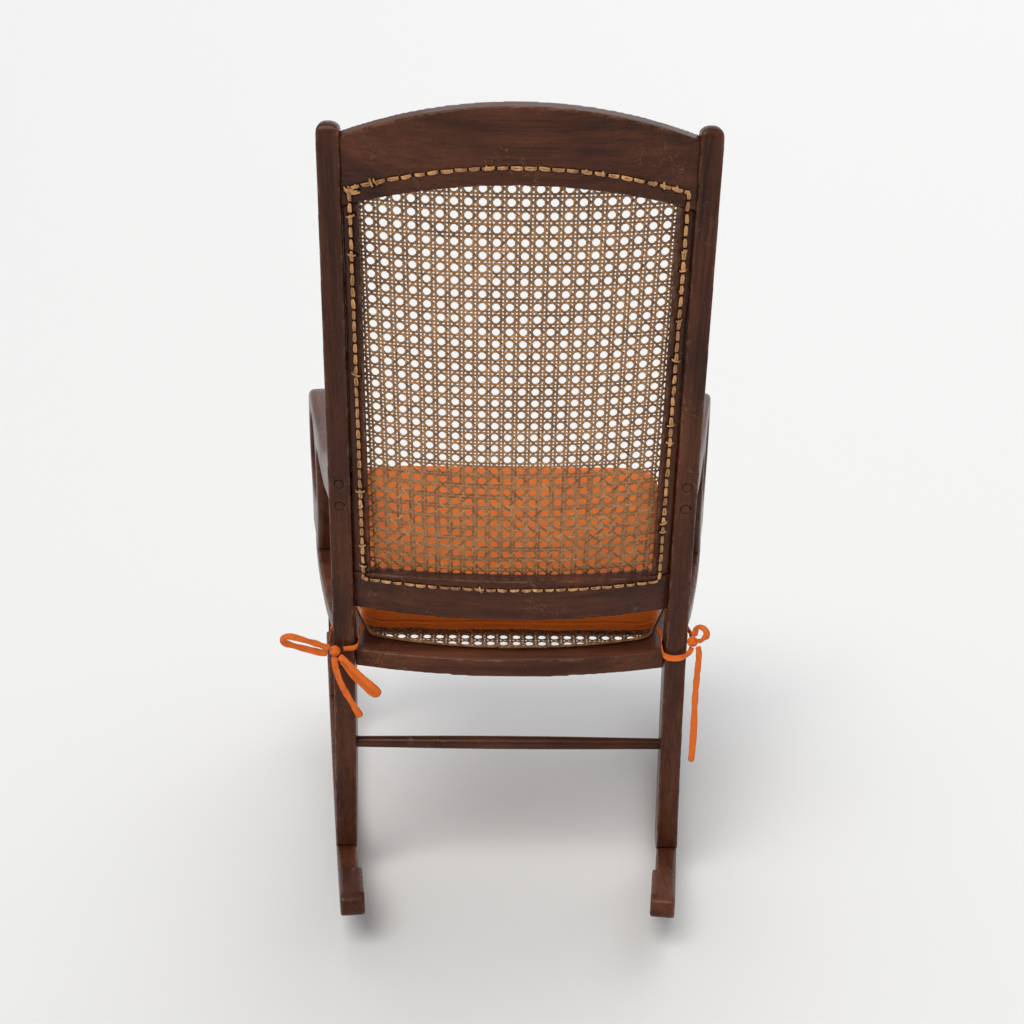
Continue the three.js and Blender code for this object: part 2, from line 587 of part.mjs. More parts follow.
function rockerShape(grow = 0) {
  const rear = ROCKER_REAR;
  const front = -ROCKER_FRONT;
  const nose = ROCKER_NOSE;
  const shape = new THREE.Shape();
  const facets = Math.ceil(ROCKER_FRONT / ROCKER_FACET);
  shape.moveTo(front + nose, soleZ(front + nose) - grow);
  for (let i = -facets; i <= facets; i++) {
    const s = CONTACT_S + (i + 0.5) * ROCKER_FACET;
    if (s > front + nose + 5 && s < rear - nose - 5) shape.lineTo(s, soleZ(s) - grow);
  }
  const block = rear - ROCKER_BLOCK_LENGTH;
  const tipZ = soleZ(rear) + 8;
  const blockTop = soleZ(rear) + 30;
  shape.lineTo(rear - nose, soleZ(rear - nose) - grow);
  shape.quadraticCurveTo(rear + grow, soleZ(rear - 6), rear + grow, tipZ);
  shape.quadraticCurveTo(rear + grow, blockTop + grow, rear - nose * 0.7, blockTop - 2 + grow);
  shape.lineTo(block, rockerTopZ(block) + ROCKER_BLOCK_RISE - 2 + grow);
  shape.lineTo(block - 2, rockerTopZ(block) - 2 + grow);
  const crownSteps = 14;
  for (let i = 0; i <= crownSteps; i++) {
    const s = lerp(block - 50, front + 60, i / crownSteps);
    shape.lineTo(s, rockerTopZ(s) + grow);
  }
  shape.quadraticCurveTo(front + 6, rockerTopZ(front) - 2, front - grow, soleZ(front) + 16);
  shape.quadraticCurveTo(front - grow, soleZ(front), front + nose, soleZ(front + nose) - grow);
  return shape;
}

function rocker(grow = 0) {
  const body = solid(plank(rockerShape(grow), ROCKER_THICKNESS + 2 * grow, 0, 6).applyMatrix4(ROCKER_PLACE));
  const wide = plank(rockerShape(grow), ROCKER_THICKNESS + ROCKER_BLOCK_STEP + 2 * grow, 0, 6);
  wide.translate(0, 0, -ROCKER_BLOCK_STEP / 2);
  const blockStart = ROCKER_REAR - ROCKER_BLOCK_LENGTH;
  const blockRoom = new THREE.BoxGeometry(FAR, FAR, FAR).translate(blockStart + FAR / 2, 0, 0);
  const block = solid(wide.applyMatrix4(ROCKER_PLACE)).intersect(solid(blockRoom.applyMatrix4(ROCKER_PLACE)));
  return body.add(block);
}

const rockerS = (y) => (y - ROCKER_FOOT_Y) / Math.cos(ROCKER_TOE);
const rockerX = (y) => ROCKER_FOOT_X - (y - ROCKER_FOOT_Y) * Math.tan(ROCKER_TOE);

function frontLeg() {
  const topZ = seatTopZ(LEG_Y) + 10;
  const side = new THREE.Shape();
  side.moveTo(LEG_Y - LEG_FOOT_DEPTH / 2, LEG_FOOT_Z);
  side.lineTo(LEG_Y + LEG_FOOT_DEPTH / 2, LEG_FOOT_Z);
  side.quadraticCurveTo(LEG_Y + LEG_FOOT_DEPTH / 2, topZ * 0.6, LEG_Y + LEG_TOP_DEPTH / 2, topZ);
  side.lineTo(LEG_Y - LEG_TOP_DEPTH / 2, topZ);
  side.quadraticCurveTo(LEG_Y - LEG_FOOT_DEPTH / 2, topZ * 0.6, LEG_Y - LEG_FOOT_DEPTH / 2, LEG_FOOT_Z);
  const rear = new THREE.Shape();
  rear.moveTo(LEG_FOOT_X - LEG_FOOT_WIDTH / 2, LEG_FOOT_Z);
  rear.lineTo(LEG_FOOT_X + LEG_FOOT_WIDTH / 2, LEG_FOOT_Z);
  rear.lineTo(LEG_TOP_X + LEG_TOP_WIDTH / 2, topZ);
  rear.lineTo(LEG_TOP_X - LEG_TOP_WIDTH / 2, topZ);
  const blank = solid(plank(side, FAR, 0, 8).applyMatrix4(SIDE_VIEW)).intersect(
    solid(plank(rear, FAR, 0, 8).applyMatrix4(REAR_VIEW)),
  );
  const seatSlab = seatRing(-BEYOND, null, -SEAT_THICKNESS - GAP, FAR / 10);
  return blank.subtract(seatSlab).add(legTenon());
}

function legTenon(grow = 0) {
  const shoulderZ = seatTopZ(LEG_Y) - SEAT_THICKNESS;
  const start = new THREE.Vector3(LEG_TOP_X, LEG_Y, shoulderZ - 20);
  return rod(LEG_TENON_DIAMETER + 2 * grow, LEG_TENON_LENGTH + 20 + grow, start, UP);
}

// A peg that stands half in a rocker and half in what rests on it.
function footDowel(x, y, grow = 0) {
  const start = new THREE.Vector3(x, y, rockerTopZ(rockerS(y)) - FOOT_DOWEL_LENGTH / 2 - grow);
  return rod(FOOT_DOWEL_DIAMETER + 2 * grow, FOOT_DOWEL_LENGTH + 2 * grow, start, UP, 10);
}

// A round stretcher, fuller at its middle, between x = -half and x = half.
function stretcher(half, middle, y, z, grow = 0) {
  const profile = [new THREE.Vector2(0, -half - grow)];
  const steps = 8;
  for (let i = 0; i <= steps; i++) {
    const share = i / steps;
    const radius = lerp(STRETCHER_END, middle, Math.sin(share * Math.PI)) / 2 + grow;
    profile.push(new THREE.Vector2(radius, lerp(-half - grow, half + grow, share)));
  }
  profile.push(new THREE.Vector2(0, half + grow));
  return solid(new THREE.LatheGeometry(profile, 14).rotateZ(-Math.PI / 2).translate(0, y, z));
}

const legInnerX = (z) => {
  const share = z / seatTopZ(LEG_Y);
  return lerp(LEG_FOOT_X, LEG_TOP_X, share) - lerp(LEG_FOOT_WIDTH, LEG_TOP_WIDTH, share) / 2;
};
const rearStretcher = (grow = 0) =>
  stretcher(
    postInnerX(REAR_STRETCHER_Z) + STRETCHER_SOCKET,
    REAR_STRETCHER_MIDDLE,
    postCentreY(REAR_STRETCHER_Z),
    REAR_STRETCHER_Z,
    grow,
  );
const frontStretcher = (grow = 0) =>
  stretcher(
    legInnerX(FRONT_STRETCHER_Z) + STRETCHER_SOCKET,
    FRONT_STRETCHER_MIDDLE,
    LEG_Y,
    FRONT_STRETCHER_Z,
    grow,
  );

// ---------------------------------------------------------------- cushion ties

const toPoint = (place) => new THREE.Vector3(...place);

function ribbonRun(route) {
  const section = new THREE.Shape();
  const sides = 8;
  for (let i = 0; i < sides; i++) {
    const turn = (i / sides) * 2 * Math.PI;
    const corner = [(Math.cos(turn) * RIBBON_WIDTH) / 2, (Math.sin(turn) * RIBBON_WIDTH) / 2];
    if (i === 0) section.moveTo(...corner);
    else section.lineTo(...corner);
  }
  const path = new THREE.CatmullRomCurve3(route.map(toPoint));
  return solid(new THREE.ExtrudeGeometry(section, { steps: route.length - 1, extrudePath: path }));
}

function knot(middle) {
  return solid(new THREE.SphereGeometry(KNOT_RADIUS, 10, 6).translate(...middle));
}

// ---------------------------------------------------------------- assembly

const chair = new THREE.Group();
const WOOD = { color: 0x4a2b1d, roughness: 0.32, metalness: 0 };
const CANE = { color: 0xb98a4f, roughness: 0.6, metalness: 0 };
const STEEL = { color: 0x8f8b85, roughness: 0.4, metalness: 1 };
const FABRIC = { color: 0xc65a20, roughness: 0.9, metalness: 0 };
const RIBBON = { color: 0xe4753a, roughness: 0.55, metalness: 0 };

function place(name, shape, finish, mirrored = false) {
  const mesh = new THREE.Mesh(geometryOf(shape), new THREE.MeshStandardMaterial(finish));
  mesh.name = name;
  if (mirrored) mesh.scale.x = -1;
  chair.add(mesh);
}

// A piece made for the sitter's left, and its mirror image for the right.
function placePair(name, shape, finish) {
  place("left_" + name, shape, finish);
  place("right_" + name, shape, finish, true);
}

const SCREW_NAMES = ["upper_arm", "lower_arm"];
const frame = seatRing(0, SEAT_RAIL_WIDTH, -SEAT_THICKNESS, 0);
const grownPost = postBlank(GAP);
const seatFrame = frame
  .subtract(grownPost)
  .subtract(mirrored(grownPost))
  .subtract(legTenon(GAP))
  .subtract(mirrored(legTenon(GAP)))
  .subtract(scrollDowel(GAP))
  .subtract(mirrored(scrollDowel(GAP)));
const arm = armWhole();
const scrollOnSeat = arm
  .intersect(below(ARM_JOINT_Z - GAP / 2))
  .subtract(seatRing(-BEYOND, null, -FAR / 10, GAP))
  .subtract(seatRing(HOLE_LINE - BINDER_WIDTH / 2 - GAP, null, 0, BINDER_HIGH + GAP))
  .subtract(scrollDowel(GAP));

let post = postBlank().subtract(rocker(GAP)).intersect(above(rockerTopZ(0) - 5));
post = post.subtract(crestRail(GAP)).subtract(lowerRail(GAP)).subtract(rearStretcher(GAP));
const postDowelZ = rockerTopZ(0) + FOOT_DOWEL_LENGTH / 2;
const postDowel = [postCentreX(postDowelZ), postCentreY(postDowelZ)];
const legDowel = [rockerX(LEG_Y), LEG_Y];
post = post.subtract(footDowel(...postDowel, GAP));
let armTop = arm.intersect(above(ARM_JOINT_Z + GAP / 2));
for (const z of SCREW_HEIGHTS) {
  post = post.subtract(plug(z, GAP)).subtract(screw(z, GAP));
  armTop = armTop.subtract(screw(z, GAP));
}

placePair("back_post", post, WOOD);
place("crest_rail", crestRail(), WOOD);
place("lower_back_rail", lowerRail(), WOOD);
placePair("back_stile", backStile(), WOOD);
place("back_cane", backCane(), CANE);

place("seat_rear_rail", seatFrame.intersect(behind(SEAT_REAR_JOINT_Y + GAP / 2)), WOOD);
place("seat_front_rail", seatFrame.intersect(before(SEAT_FRONT_JOINT_Y - GAP / 2)), WOOD);
const sideRails = seatFrame
  .intersect(before(SEAT_REAR_JOINT_Y - GAP / 2))
  .intersect(behind(SEAT_FRONT_JOINT_Y + GAP / 2));
placePair("seat_rail", sideRails.intersect(boxBetween(new THREE.Vector3(0, -FAR, 0), new THREE.Vector3(FAR, FAR, FAR))), WOOD);
place("seat_cane", seatRing(HOLE_LINE - 1, null, CANE_LOW, CANE_HIGH), CANE);
place("seat_binder", seatRing(HOLE_LINE - BINDER_WIDTH / 2, HOLE_LINE + BINDER_WIDTH / 2, CANE_HIGH + GAP, BINDER_HIGH), CANE);
place("cushion", cushion(), FABRIC);

placePair("arm", armTop, WOOD);
placePair("arm_scroll", scrollOnSeat, WOOD);
placePair("scroll_dowel", scrollDowel(), WOOD);
SCREW_HEIGHTS.forEach((z, i) => {
  placePair(SCREW_NAMES[i] + "_screw", screw(z), STEEL);
  placePair(SCREW_NAMES[i] + "_plug", plug(z), WOOD);
});

placePair("rocker", rocker().subtract(footDowel(...postDowel, GAP)).subtract(footDowel(...legDowel, GAP)), WOOD);
placePair("front_leg", frontLeg().subtract(rocker(GAP)).intersect(above(rockerTopZ(rockerS(LEG_Y)) - 5)).subtract(frontStretcher(GAP)).subtract(footDowel(...legDowel, GAP)), WOOD);
placePair("post_dowel", footDowel(...postDowel), WOOD);
placePair("leg_dowel", footDowel(...legDowel), WOOD);
place("rear_stretcher", rearStretcher(), WOOD);
place("front_stretcher", frontStretcher(), WOOD);

for (const [name, route] of Object.entries(TIE_ROUTES)) place(name, ribbonRun(route), RIBBON);
place("left_tie_knot", knot(LEFT_KNOT), RIBBON);
place("right_tie_knot", knot(RIGHT_KNOT), RIBBON);

export default chair;
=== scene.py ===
"""A caned rocking chair with a tie-on cushion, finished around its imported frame.

Every length is in metres. Each piece is made at rest, in the frame's own place, and rides on its body.
"""
import math
import random

import bmesh
import bpy
from mathutils import Matrix, Vector, geometry, noise
from mathutils.bvhtree import BVHTree


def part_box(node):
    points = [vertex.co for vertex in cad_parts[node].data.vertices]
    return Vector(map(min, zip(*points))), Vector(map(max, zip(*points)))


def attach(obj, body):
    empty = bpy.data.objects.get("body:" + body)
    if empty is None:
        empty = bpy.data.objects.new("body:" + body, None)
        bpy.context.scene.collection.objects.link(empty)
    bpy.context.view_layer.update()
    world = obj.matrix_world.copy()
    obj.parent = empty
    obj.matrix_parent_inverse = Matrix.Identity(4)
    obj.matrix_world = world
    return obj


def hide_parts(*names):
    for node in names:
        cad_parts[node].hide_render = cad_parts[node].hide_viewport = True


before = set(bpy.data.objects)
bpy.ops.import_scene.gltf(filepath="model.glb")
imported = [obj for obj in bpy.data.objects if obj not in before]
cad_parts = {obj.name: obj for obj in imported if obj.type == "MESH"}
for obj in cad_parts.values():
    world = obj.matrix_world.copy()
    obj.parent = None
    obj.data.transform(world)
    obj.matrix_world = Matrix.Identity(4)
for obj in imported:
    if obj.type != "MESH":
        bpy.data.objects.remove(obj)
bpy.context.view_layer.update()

bl_info = {
    "name": "Caned rocking chair",
    "version": (1, 0, 0),
    "blender": (4, 5, 0),
    "location": "View3D > Sidebar > Rocking chair",
    "description": "Makes the varnished wood, woven cane, cushion and ribbon ties of a rocking chair",
    "category": "Object",
}

MM = 0.001
BODY = "root"
UP = Vector((0, 0, 1))
REARWARDS = Vector((0, 1, 0))
QUARTER_TURN = math.radians(90)
DIAGONAL = math.radians(45)
BACK_LEAN = math.radians(15.5)  # of the back and its posts from upright, to half a degree
SAME_PLACE = 1e-6  # vertices closer than this are one
SAME_CAD_PLACE = 1e-5  # the same in the CAD's meshes, whose faces each bring their own vertices

# ---------------------------------------------------------------- ribbon routes

KNOT_RADIUS = 0.0065
LEFT_KNOT = (0.229, 0.209, 0.381)
RIGHT_KNOT = (-0.238, 0.207, 0.398)
TIE_ROUTES = {
    "left_tie_inner": [
        (0.1955, 0.159, 0.3945), (0.1975, 0.1608, 0.3928), (0.1992, 0.164, 0.3908), (0.2, 0.168, 0.389),
        (0.2, 0.173, 0.388), (0.2, 0.178, 0.387), (0.2, 0.183, 0.3863), (0.2, 0.188, 0.3858),
        (0.2, 0.1925, 0.3854), (0.2, 0.197, 0.385), (0.2015, 0.2035, 0.3845), (0.206, 0.206, 0.384),
        (0.21, 0.206, 0.3837), (0.214, 0.2062, 0.3833), (0.218, 0.2065, 0.383),
    ],
    "left_tie_outer": [
        (0.213, 0.147, 0.396), (0.216, 0.1482, 0.3949), (0.219, 0.1495, 0.3938), (0.222, 0.1507, 0.3926),
        (0.225, 0.1518, 0.3915), (0.228, 0.1527, 0.3905), (0.231, 0.1535, 0.3895), (0.2365, 0.156, 0.3885),
        (0.238, 0.16, 0.388), (0.238, 0.1645, 0.3875), (0.238, 0.171, 0.387), (0.238, 0.179, 0.386),
        (0.238, 0.187, 0.385), (0.238, 0.194, 0.384), (0.2375, 0.2, 0.383),
    ],
    "left_tie_upper_loop": [
        (0.236, 0.214, 0.388), (0.243, 0.2155, 0.391), (0.251, 0.217, 0.395), (0.260, 0.219, 0.399),
        (0.270, 0.2205, 0.403), (0.279, 0.221, 0.406), (0.287, 0.2205, 0.407), (0.293, 0.219, 0.4045),
        (0.295, 0.2165, 0.399), (0.292, 0.214, 0.394), (0.285, 0.213, 0.391), (0.276, 0.2125, 0.388),
        (0.266, 0.212, 0.385), (0.256, 0.2115, 0.382), (0.247, 0.211, 0.3795), (0.239, 0.2105, 0.3785),
    ],
    "left_tie_lower_loop": [
        (0.223, 0.214, 0.376), (0.216, 0.216, 0.371), (0.208, 0.218, 0.364), (0.199, 0.220, 0.355),
        (0.190, 0.221, 0.346), (0.182, 0.221, 0.338), (0.1755, 0.220, 0.331), (0.173, 0.218, 0.325),
        (0.1765, 0.216, 0.321), (0.183, 0.2145, 0.324), (0.190, 0.2135, 0.331), (0.198, 0.2125, 0.339),
        (0.206, 0.2115, 0.348), (0.214, 0.2105, 0.358), (0.221, 0.210, 0.367),
    ],
    "left_tie_tail": [
        (0.230, 0.209, 0.373), (0.2295, 0.2095, 0.366), (0.2285, 0.210, 0.357), (0.2265, 0.210, 0.347),
        (0.2235, 0.2095, 0.337), (0.220, 0.209, 0.328), (0.216, 0.2085, 0.319), (0.212, 0.208, 0.311),
        (0.208, 0.207, 0.303), (0.204, 0.2065, 0.295), (0.2005, 0.206, 0.288), (0.198, 0.2055, 0.282),
    ],
    "right_tie_inner": [
        (-0.1955, 0.159, 0.3945), (-0.1975, 0.1608, 0.3928), (-0.1992, 0.164, 0.3908), (-0.2, 0.168, 0.389),
        (-0.2, 0.173, 0.388), (-0.2, 0.178, 0.387), (-0.2, 0.183, 0.386), (-0.2, 0.19, 0.384),
        (-0.2, 0.197, 0.381), (-0.202, 0.2035, 0.377), (-0.207, 0.205, 0.374), (-0.213, 0.2045, 0.3725),
        (-0.219, 0.2045, 0.3725), (-0.225, 0.205, 0.374), (-0.231, 0.2065, 0.378), (-0.2355, 0.207, 0.384),
        (-0.2375, 0.207, 0.3895),
    ],
    "right_tie_outer": [
        (-0.213, 0.147, 0.396), (-0.216, 0.1482, 0.3953), (-0.219, 0.1495, 0.3946), (-0.222, 0.1507, 0.3939),
        (-0.225, 0.1518, 0.3932), (-0.228, 0.1527, 0.3928), (-0.231, 0.1535, 0.3925), (-0.2365, 0.156, 0.3925),
        (-0.238, 0.16, 0.393), (-0.238, 0.165, 0.3937), (-0.2385, 0.17, 0.3944), (-0.2385, 0.177, 0.3953),
        (-0.2385, 0.184, 0.3962), (-0.2385, 0.1915, 0.397), (-0.2385, 0.1983, 0.3975),
    ],
    "right_tie_loop": [
        (-0.243, 0.214, 0.402), (-0.247, 0.217, 0.405), (-0.251, 0.22, 0.409), (-0.2535, 0.222, 0.414),
        (-0.253, 0.2225, 0.42), (-0.249, 0.221, 0.4245), (-0.2435, 0.219, 0.425), (-0.2405, 0.216, 0.4215),
        (-0.24, 0.213, 0.415), (-0.2395, 0.21, 0.408),
    ],
    "right_tie_tail": [
        (-0.245, 0.21, 0.393), (-0.2465, 0.2105, 0.386), (-0.247, 0.2105, 0.377), (-0.2468, 0.21, 0.366),
        (-0.2464, 0.2095, 0.354), (-0.246, 0.209, 0.341), (-0.2458, 0.2085, 0.328), (-0.2458, 0.208, 0.315),
        (-0.246, 0.2075, 0.302), (-0.2463, 0.207, 0.289), (-0.2466, 0.2065, 0.276), (-0.2468, 0.206, 0.262),
        (-0.2468, 0.2055, 0.248), (-0.2465, 0.205, 0.234), (-0.246, 0.2048, 0.218),
    ],
}


# ---------------------------------------------------------------- settings


class ChairSizes(bpy.types.PropertyGroup):
    """Sizes that a user would change, all but the counts in metres."""

    wood_voxel: bpy.props.FloatProperty(
        name="Wood detail", description="Grid size of the softened wood", default=0.0019, unit="LENGTH")
    strand_width: bpy.props.FloatProperty(
        name="Strand width", description="Width of one strand of cane", default=0.0026, unit="LENGTH")
    strand_thickness: bpy.props.FloatProperty(
        name="Strand thickness", description="Thickness of one strand of cane", default=0.0008,
        unit="LENGTH")
    pair_spread: bpy.props.FloatProperty(
        name="Pair spread", description="Distance between the strands of a pair, as a share of the pitch",
        default=0.28)
    back_columns: bpy.props.IntProperty(
        name="Back columns", description="Columns of holes across the back", default=23)
    back_rows: bpy.props.IntProperty(
        name="Back rows", description="Rows of holes up the back", default=34)
    seat_pitch: bpy.props.FloatProperty(
        name="Seat pitch", description="Spacing of the seat's holes", default=0.017, unit="LENGTH")
    ribbon_width: bpy.props.FloatProperty(
        name="Ribbon width", description="Width of the cushion's ties", default=0.0102, unit="LENGTH")
    ribbon_thickness: bpy.props.FloatProperty(
        name="Ribbon thickness", description="Thickness of the ties", default=0.0005, unit="LENGTH")
    piping_radius: bpy.props.FloatProperty(
        name="Piping radius", description="Radius of the piping round the cushion", default=0.0026,
        unit="LENGTH")


class ChairFinishes(bpy.types.PropertyGroup):
    """Colours that a user would change."""

    wood_dark: bpy.props.FloatVectorProperty(
        name="Wood, dark", description="Darkest grain", subtype="COLOR", size=4,
        default=(0.017, 0.0052, 0.0032, 1))
    wood_light: bpy.props.FloatVectorProperty(
        name="Wood, light", description="Lightest grain", subtype="COLOR", size=4,
        default=(0.162, 0.049, 0.0215, 1))
    wood_worn: bpy.props.FloatVectorProperty(
        name="Wood, worn", description="Bare wood at the arrises", subtype="COLOR", size=4,
        default=(0.30, 0.16, 0.09, 1))
    cane_dark: bpy.props.FloatVectorProperty(
        name="Cane, dark", description="Aged strands", subtype="COLOR", size=4,
        default=(0.155, 0.066, 0.026, 1))
    cane_light: bpy.props.FloatVectorProperty(
        name="Cane, light", description="Pale strands", subtype="COLOR", size=4,
        default=(0.60, 0.31, 0.115, 1))
    cloth: bpy.props.FloatVectorProperty(
        name="Cloth", description="Cushion cover", subtype="COLOR", size=4, default=(0.70, 0.165, 0.018, 1))
    cloth_shade: bpy.props.FloatVectorProperty(
        name="Cloth shade", description="Darker threads of the cover", subtype="COLOR", size=4,
        default=(0.54, 0.102, 0.013, 1))
    ribbon: bpy.props.FloatVectorProperty(
        name="Ribbon", description="Cushion ties", subtype="COLOR", size=4, default=(0.80, 0.15, 0.014, 1))
    floor: bpy.props.FloatVectorProperty(
        name="Floor", description="Studio floor", subtype="COLOR", size=4, default=(0.74, 0.735, 0.725, 1))


def sizes():
    return bpy.context.scene.chair_sizes


def finishes():
    return bpy.context.scene.chair_finishes


def ramp(value, start, full):
    """How far a value has come on its way from start to full, from 0 to 1."""
    return min(1.0, max(0.0, (value - start) / (full - start)))


def mesh_from(thing):
    """The mesh of an object or a curve as its modifiers leave it. What it was made from is removed."""
    holder = thing
    if not isinstance(thing, bpy.types.Object):
        holder = bpy.data.objects.new("holder", thing)
    if not holder.users_collection:
        bpy.context.scene.collection.objects.link(holder)
    seen = holder.evaluated_get(bpy.context.evaluated_depsgraph_get())
    made = bpy.data.meshes.new_from_object(seen)
    bpy.data.objects.remove(holder)
    return made


# ---------------------------------------------------------------- node groups and materials


def new_group(name, inputs, outputs):
    """A shader node group with its sockets made, and its input and output nodes."""
    group = bpy.data.node_groups.new(name, "ShaderNodeTree")
    for label, kind, default in inputs:
        socket = group.interface.new_socket(name=label, in_out="INPUT", socket_type=kind)
        if default is not None:
            socket.default_value = default
    for label, kind in outputs:
        group.interface.new_socket(name=label, in_out="OUTPUT", socket_type=kind)
    return group, group.nodes.new("NodeGroupInput"), group.nodes.new("NodeGroupOutput")


def set_sockets(node, **values):
    """Sets what a node's sockets hold. An underscore stands for a space in a socket's name."""
    for key, value in values.items():
        node.inputs[key.replace("_", " ")].default_value = value


def add_node(tree, kind, links=(), **values):
    """A node with its properties and socket defaults set, and its inputs linked."""
    made = tree.nodes.new(kind)
    for key, value in values.items():
        if hasattr(made, key):
            setattr(made, key, value)
        else:
            set_sockets(made, **{key: value})
    for socket, source in links:
        tree.links.new(source, made.inputs[socket])
    return made


def noise_texture(tree, coordinates, scale, detail, roughness):
    made = add_node(tree, "ShaderNodeTexNoise", [("Vector", coordinates)],
                    Scale=scale, Detail=detail, Roughness=roughness)
    return made.outputs["Fac"]


def remap(tree, value, low, high, to_low=0.0, to_high=1.0):
    made = add_node(tree, "ShaderNodeMapRange", [("Value", value)],
                    From_Min=low, From_Max=high, To_Min=to_low, To_Max=to_high)
    return made.outputs["Result"]


def feed(tree, node, sources):
    """Gives a node's sockets, by their numbers, what each takes: another node's output or a value."""
    for socket, source in sources.items():
        if isinstance(source, bpy.types.NodeSocket):
            tree.links.new(source, node.inputs[socket])
        else:
            node.inputs[socket].default_value = source


def blend_colors(tree, share, first, second):
    made = add_node(tree, "ShaderNodeMix", data_type="RGBA")
    feed(tree, made, {0: share, 6: first, 7: second})
    return made.outputs[2]


def calculate(tree, operation, first, second):
    made = add_node(tree, "ShaderNodeMath", operation=operation)
    feed(tree, made, {0: first, 1: second})
    return made.outputs[0]


def stretched(tree, coordinates, scale, rotation=(0, 0, 0)):
    made = add_node(tree, "ShaderNodeMapping", [("Vector", coordinates)], Rotation=rotation, Scale=scale)
    return made.outputs["Vector"]


def noise_share(tree, field, low, high):
    """The middle of a noise field, where nearly all of it lies, brought to the given ends."""
    return remap(tree, field, 0.3, 0.7, low, high)


def wood_grain_group():
    """Long figure, fine pores and varnish mottle. The grain runs along the coordinates' Z."""
    group, given, out = new_group(
        "wood_grain",
        [("Coordinates", "NodeSocketVector", None), ("Dark", "NodeSocketColor", None),
         ("Light", "NodeSocketColor", None)],
        [("Color", "NodeSocketColor"), ("Roughness", "NodeSocketFloat"), ("Height", "NodeSocketFloat")])
    place = given.outputs["Coordinates"]
    figure = noise_texture(group, stretched(group, place, (38, 38, 2.6)), 1.0, 5, 0.6)
    streak = noise_texture(group, stretched(group, place, (260, 260, 7)), 1.0, 4, 0.6)
    pores = noise_texture(group, stretched(group, place, (1500, 1500, 60)), 1.0, 2, 0.5)
    mottle = noise_texture(group, place, 9.0, 4, 0.6)
    tone = calculate(group, "ADD", noise_share(group, figure, 0, 0.55), noise_share(group, streak, 0, 0.35))
    tone = calculate(group, "MULTIPLY", tone, noise_share(group, mottle, 0.55, 1.25))
    color = blend_colors(group, tone, given.outputs["Dark"], given.outputs["Light"])
    pore_mask = remap(group, pores, 0.60, 0.72, 0, 0.7)
    color = blend_colors(group, pore_mask, color, given.outputs["Dark"])
    gloss, dull_pores = noise_share(group, mottle, 0.24, 0.42), remap(group, pores, 0.5, 0.75, 0, 0.12)
    rough = calculate(group, "ADD", gloss, dull_pores)
    ridges, pits = noise_share(group, streak, 0, 0.5), remap(group, pores, 0.45, 0.72, 0.5, 0)
    height = calculate(group, "ADD", ridges, pits)
    group.links.new(color, out.inputs["Color"])
    group.links.new(rough, out.inputs["Roughness"])
    group.links.new(height, out.inputs["Height"])
    return group


def wear_group():
    """Arrises rubbed to bare wood, and fine scratches. Both are masks from 0 to 1."""
    group, given, out = new_group(
        "handling_wear",
        [("Coordinates", "NodeSocketVector", None), ("Edge start", "NodeSocketFloat", 0.515),
         ("Edge full", "NodeSocketFloat", 0.57)],
        [("Edges", "NodeSocketFloat"), ("Scratches", "NodeSocketFloat")])
    place = given.outputs["Coordinates"]
    convex = group.nodes.new("ShaderNodeNewGeometry").outputs["Pointiness"]
    ragged = noise_texture(group, place, 55.0, 5, 0.65)
    reach = add_node(group, "ShaderNodeMapRange", [("Value", convex)])
    group.links.new(given.outputs["Edge start"], reach.inputs["From Min"])
    group.links.new(given.outputs["Edge full"], reach.inputs["From Max"])
    edges = calculate(group, "MULTIPLY", reach.outputs["Result"], remap(group, ragged, 0.47, 0.62))
    lines = noise_texture(group, stretched(group, place, (900, 900, 22), (0.3, 0.9, 0.5)), 1.0, 1, 0.4)
    patches = noise_texture(group, place, 17.0, 2, 0.5)
    scratches = remap(group, lines, 0.70, 0.76)
    scratches = calculate(group, "MULTIPLY", scratches, remap(group, patches, 0.56, 0.66))
    # a hair scratch runs where a tangled field passes its middle
    tangled = noise_texture(group, stretched(group, place, (31, 31, 24)), 1.0, 4, 0.62)
    ridge = calculate(group, "ABSOLUTE", calculate(group, "SUBTRACT", tangled, 0.5), 0.0)
    rubbed = noise_texture(group, stretched(group, place, (13, 13, 13)), 1.0, 3, 0.6)
    hairs = remap(group, ridge, 0.0018, 0.0055, 1, 0)
    hairs = calculate(group, "MULTIPLY", hairs, remap(group, rubbed, 0.53, 0.62))
    scratches = calculate(group, "MAXIMUM", scratches, hairs)
    group.links.new(edges, out.inputs["Edges"])
    group.links.new(scratches, out.inputs["Scratches"])
    return group


def strand_group():
    """Colour and height of split cane: tone changes from strand to strand, with fine fibres along it."""
    group, given, out = new_group(
        "split_cane",
        [("Coordinates", "NodeSocketVector", None), ("Dark", "NodeSocketColor", None),
         ("Light", "NodeSocketColor", None)],
        [("Color", "NodeSocketColor"), ("Height", "NodeSocketFloat")])
    place = given.outputs["Coordinates"]
    strands = noise_texture(group, stretched(group, place, (140, 140, 9)), 1.0, 2, 0.5)
    patches = noise_texture(group, place, 14.0, 3, 0.6)
    specks = noise_texture(group, place, 420.0, 2, 0.5)
    tone = remap(group, strands, 0.32, 0.68, 0.1, 1.0)
    tone = calculate(group, "MULTIPLY", tone, noise_share(group, patches, 0.45, 1.15))
    color = blend_colors(group, tone, given.outputs["Dark"], given.outputs["Light"])
    color = blend_colors(group, remap(group, specks, 0.62, 0.74, 0, 0.6), color, given.outputs["Dark"])
    group.links.new(color, out.inputs["Color"])
    fibres = noise_texture(group, stretched(group, place, (2600, 2600, 150)), 1.0, 2, 0.5)
    group.links.new(fibres, out.inputs["Height"])
    return group


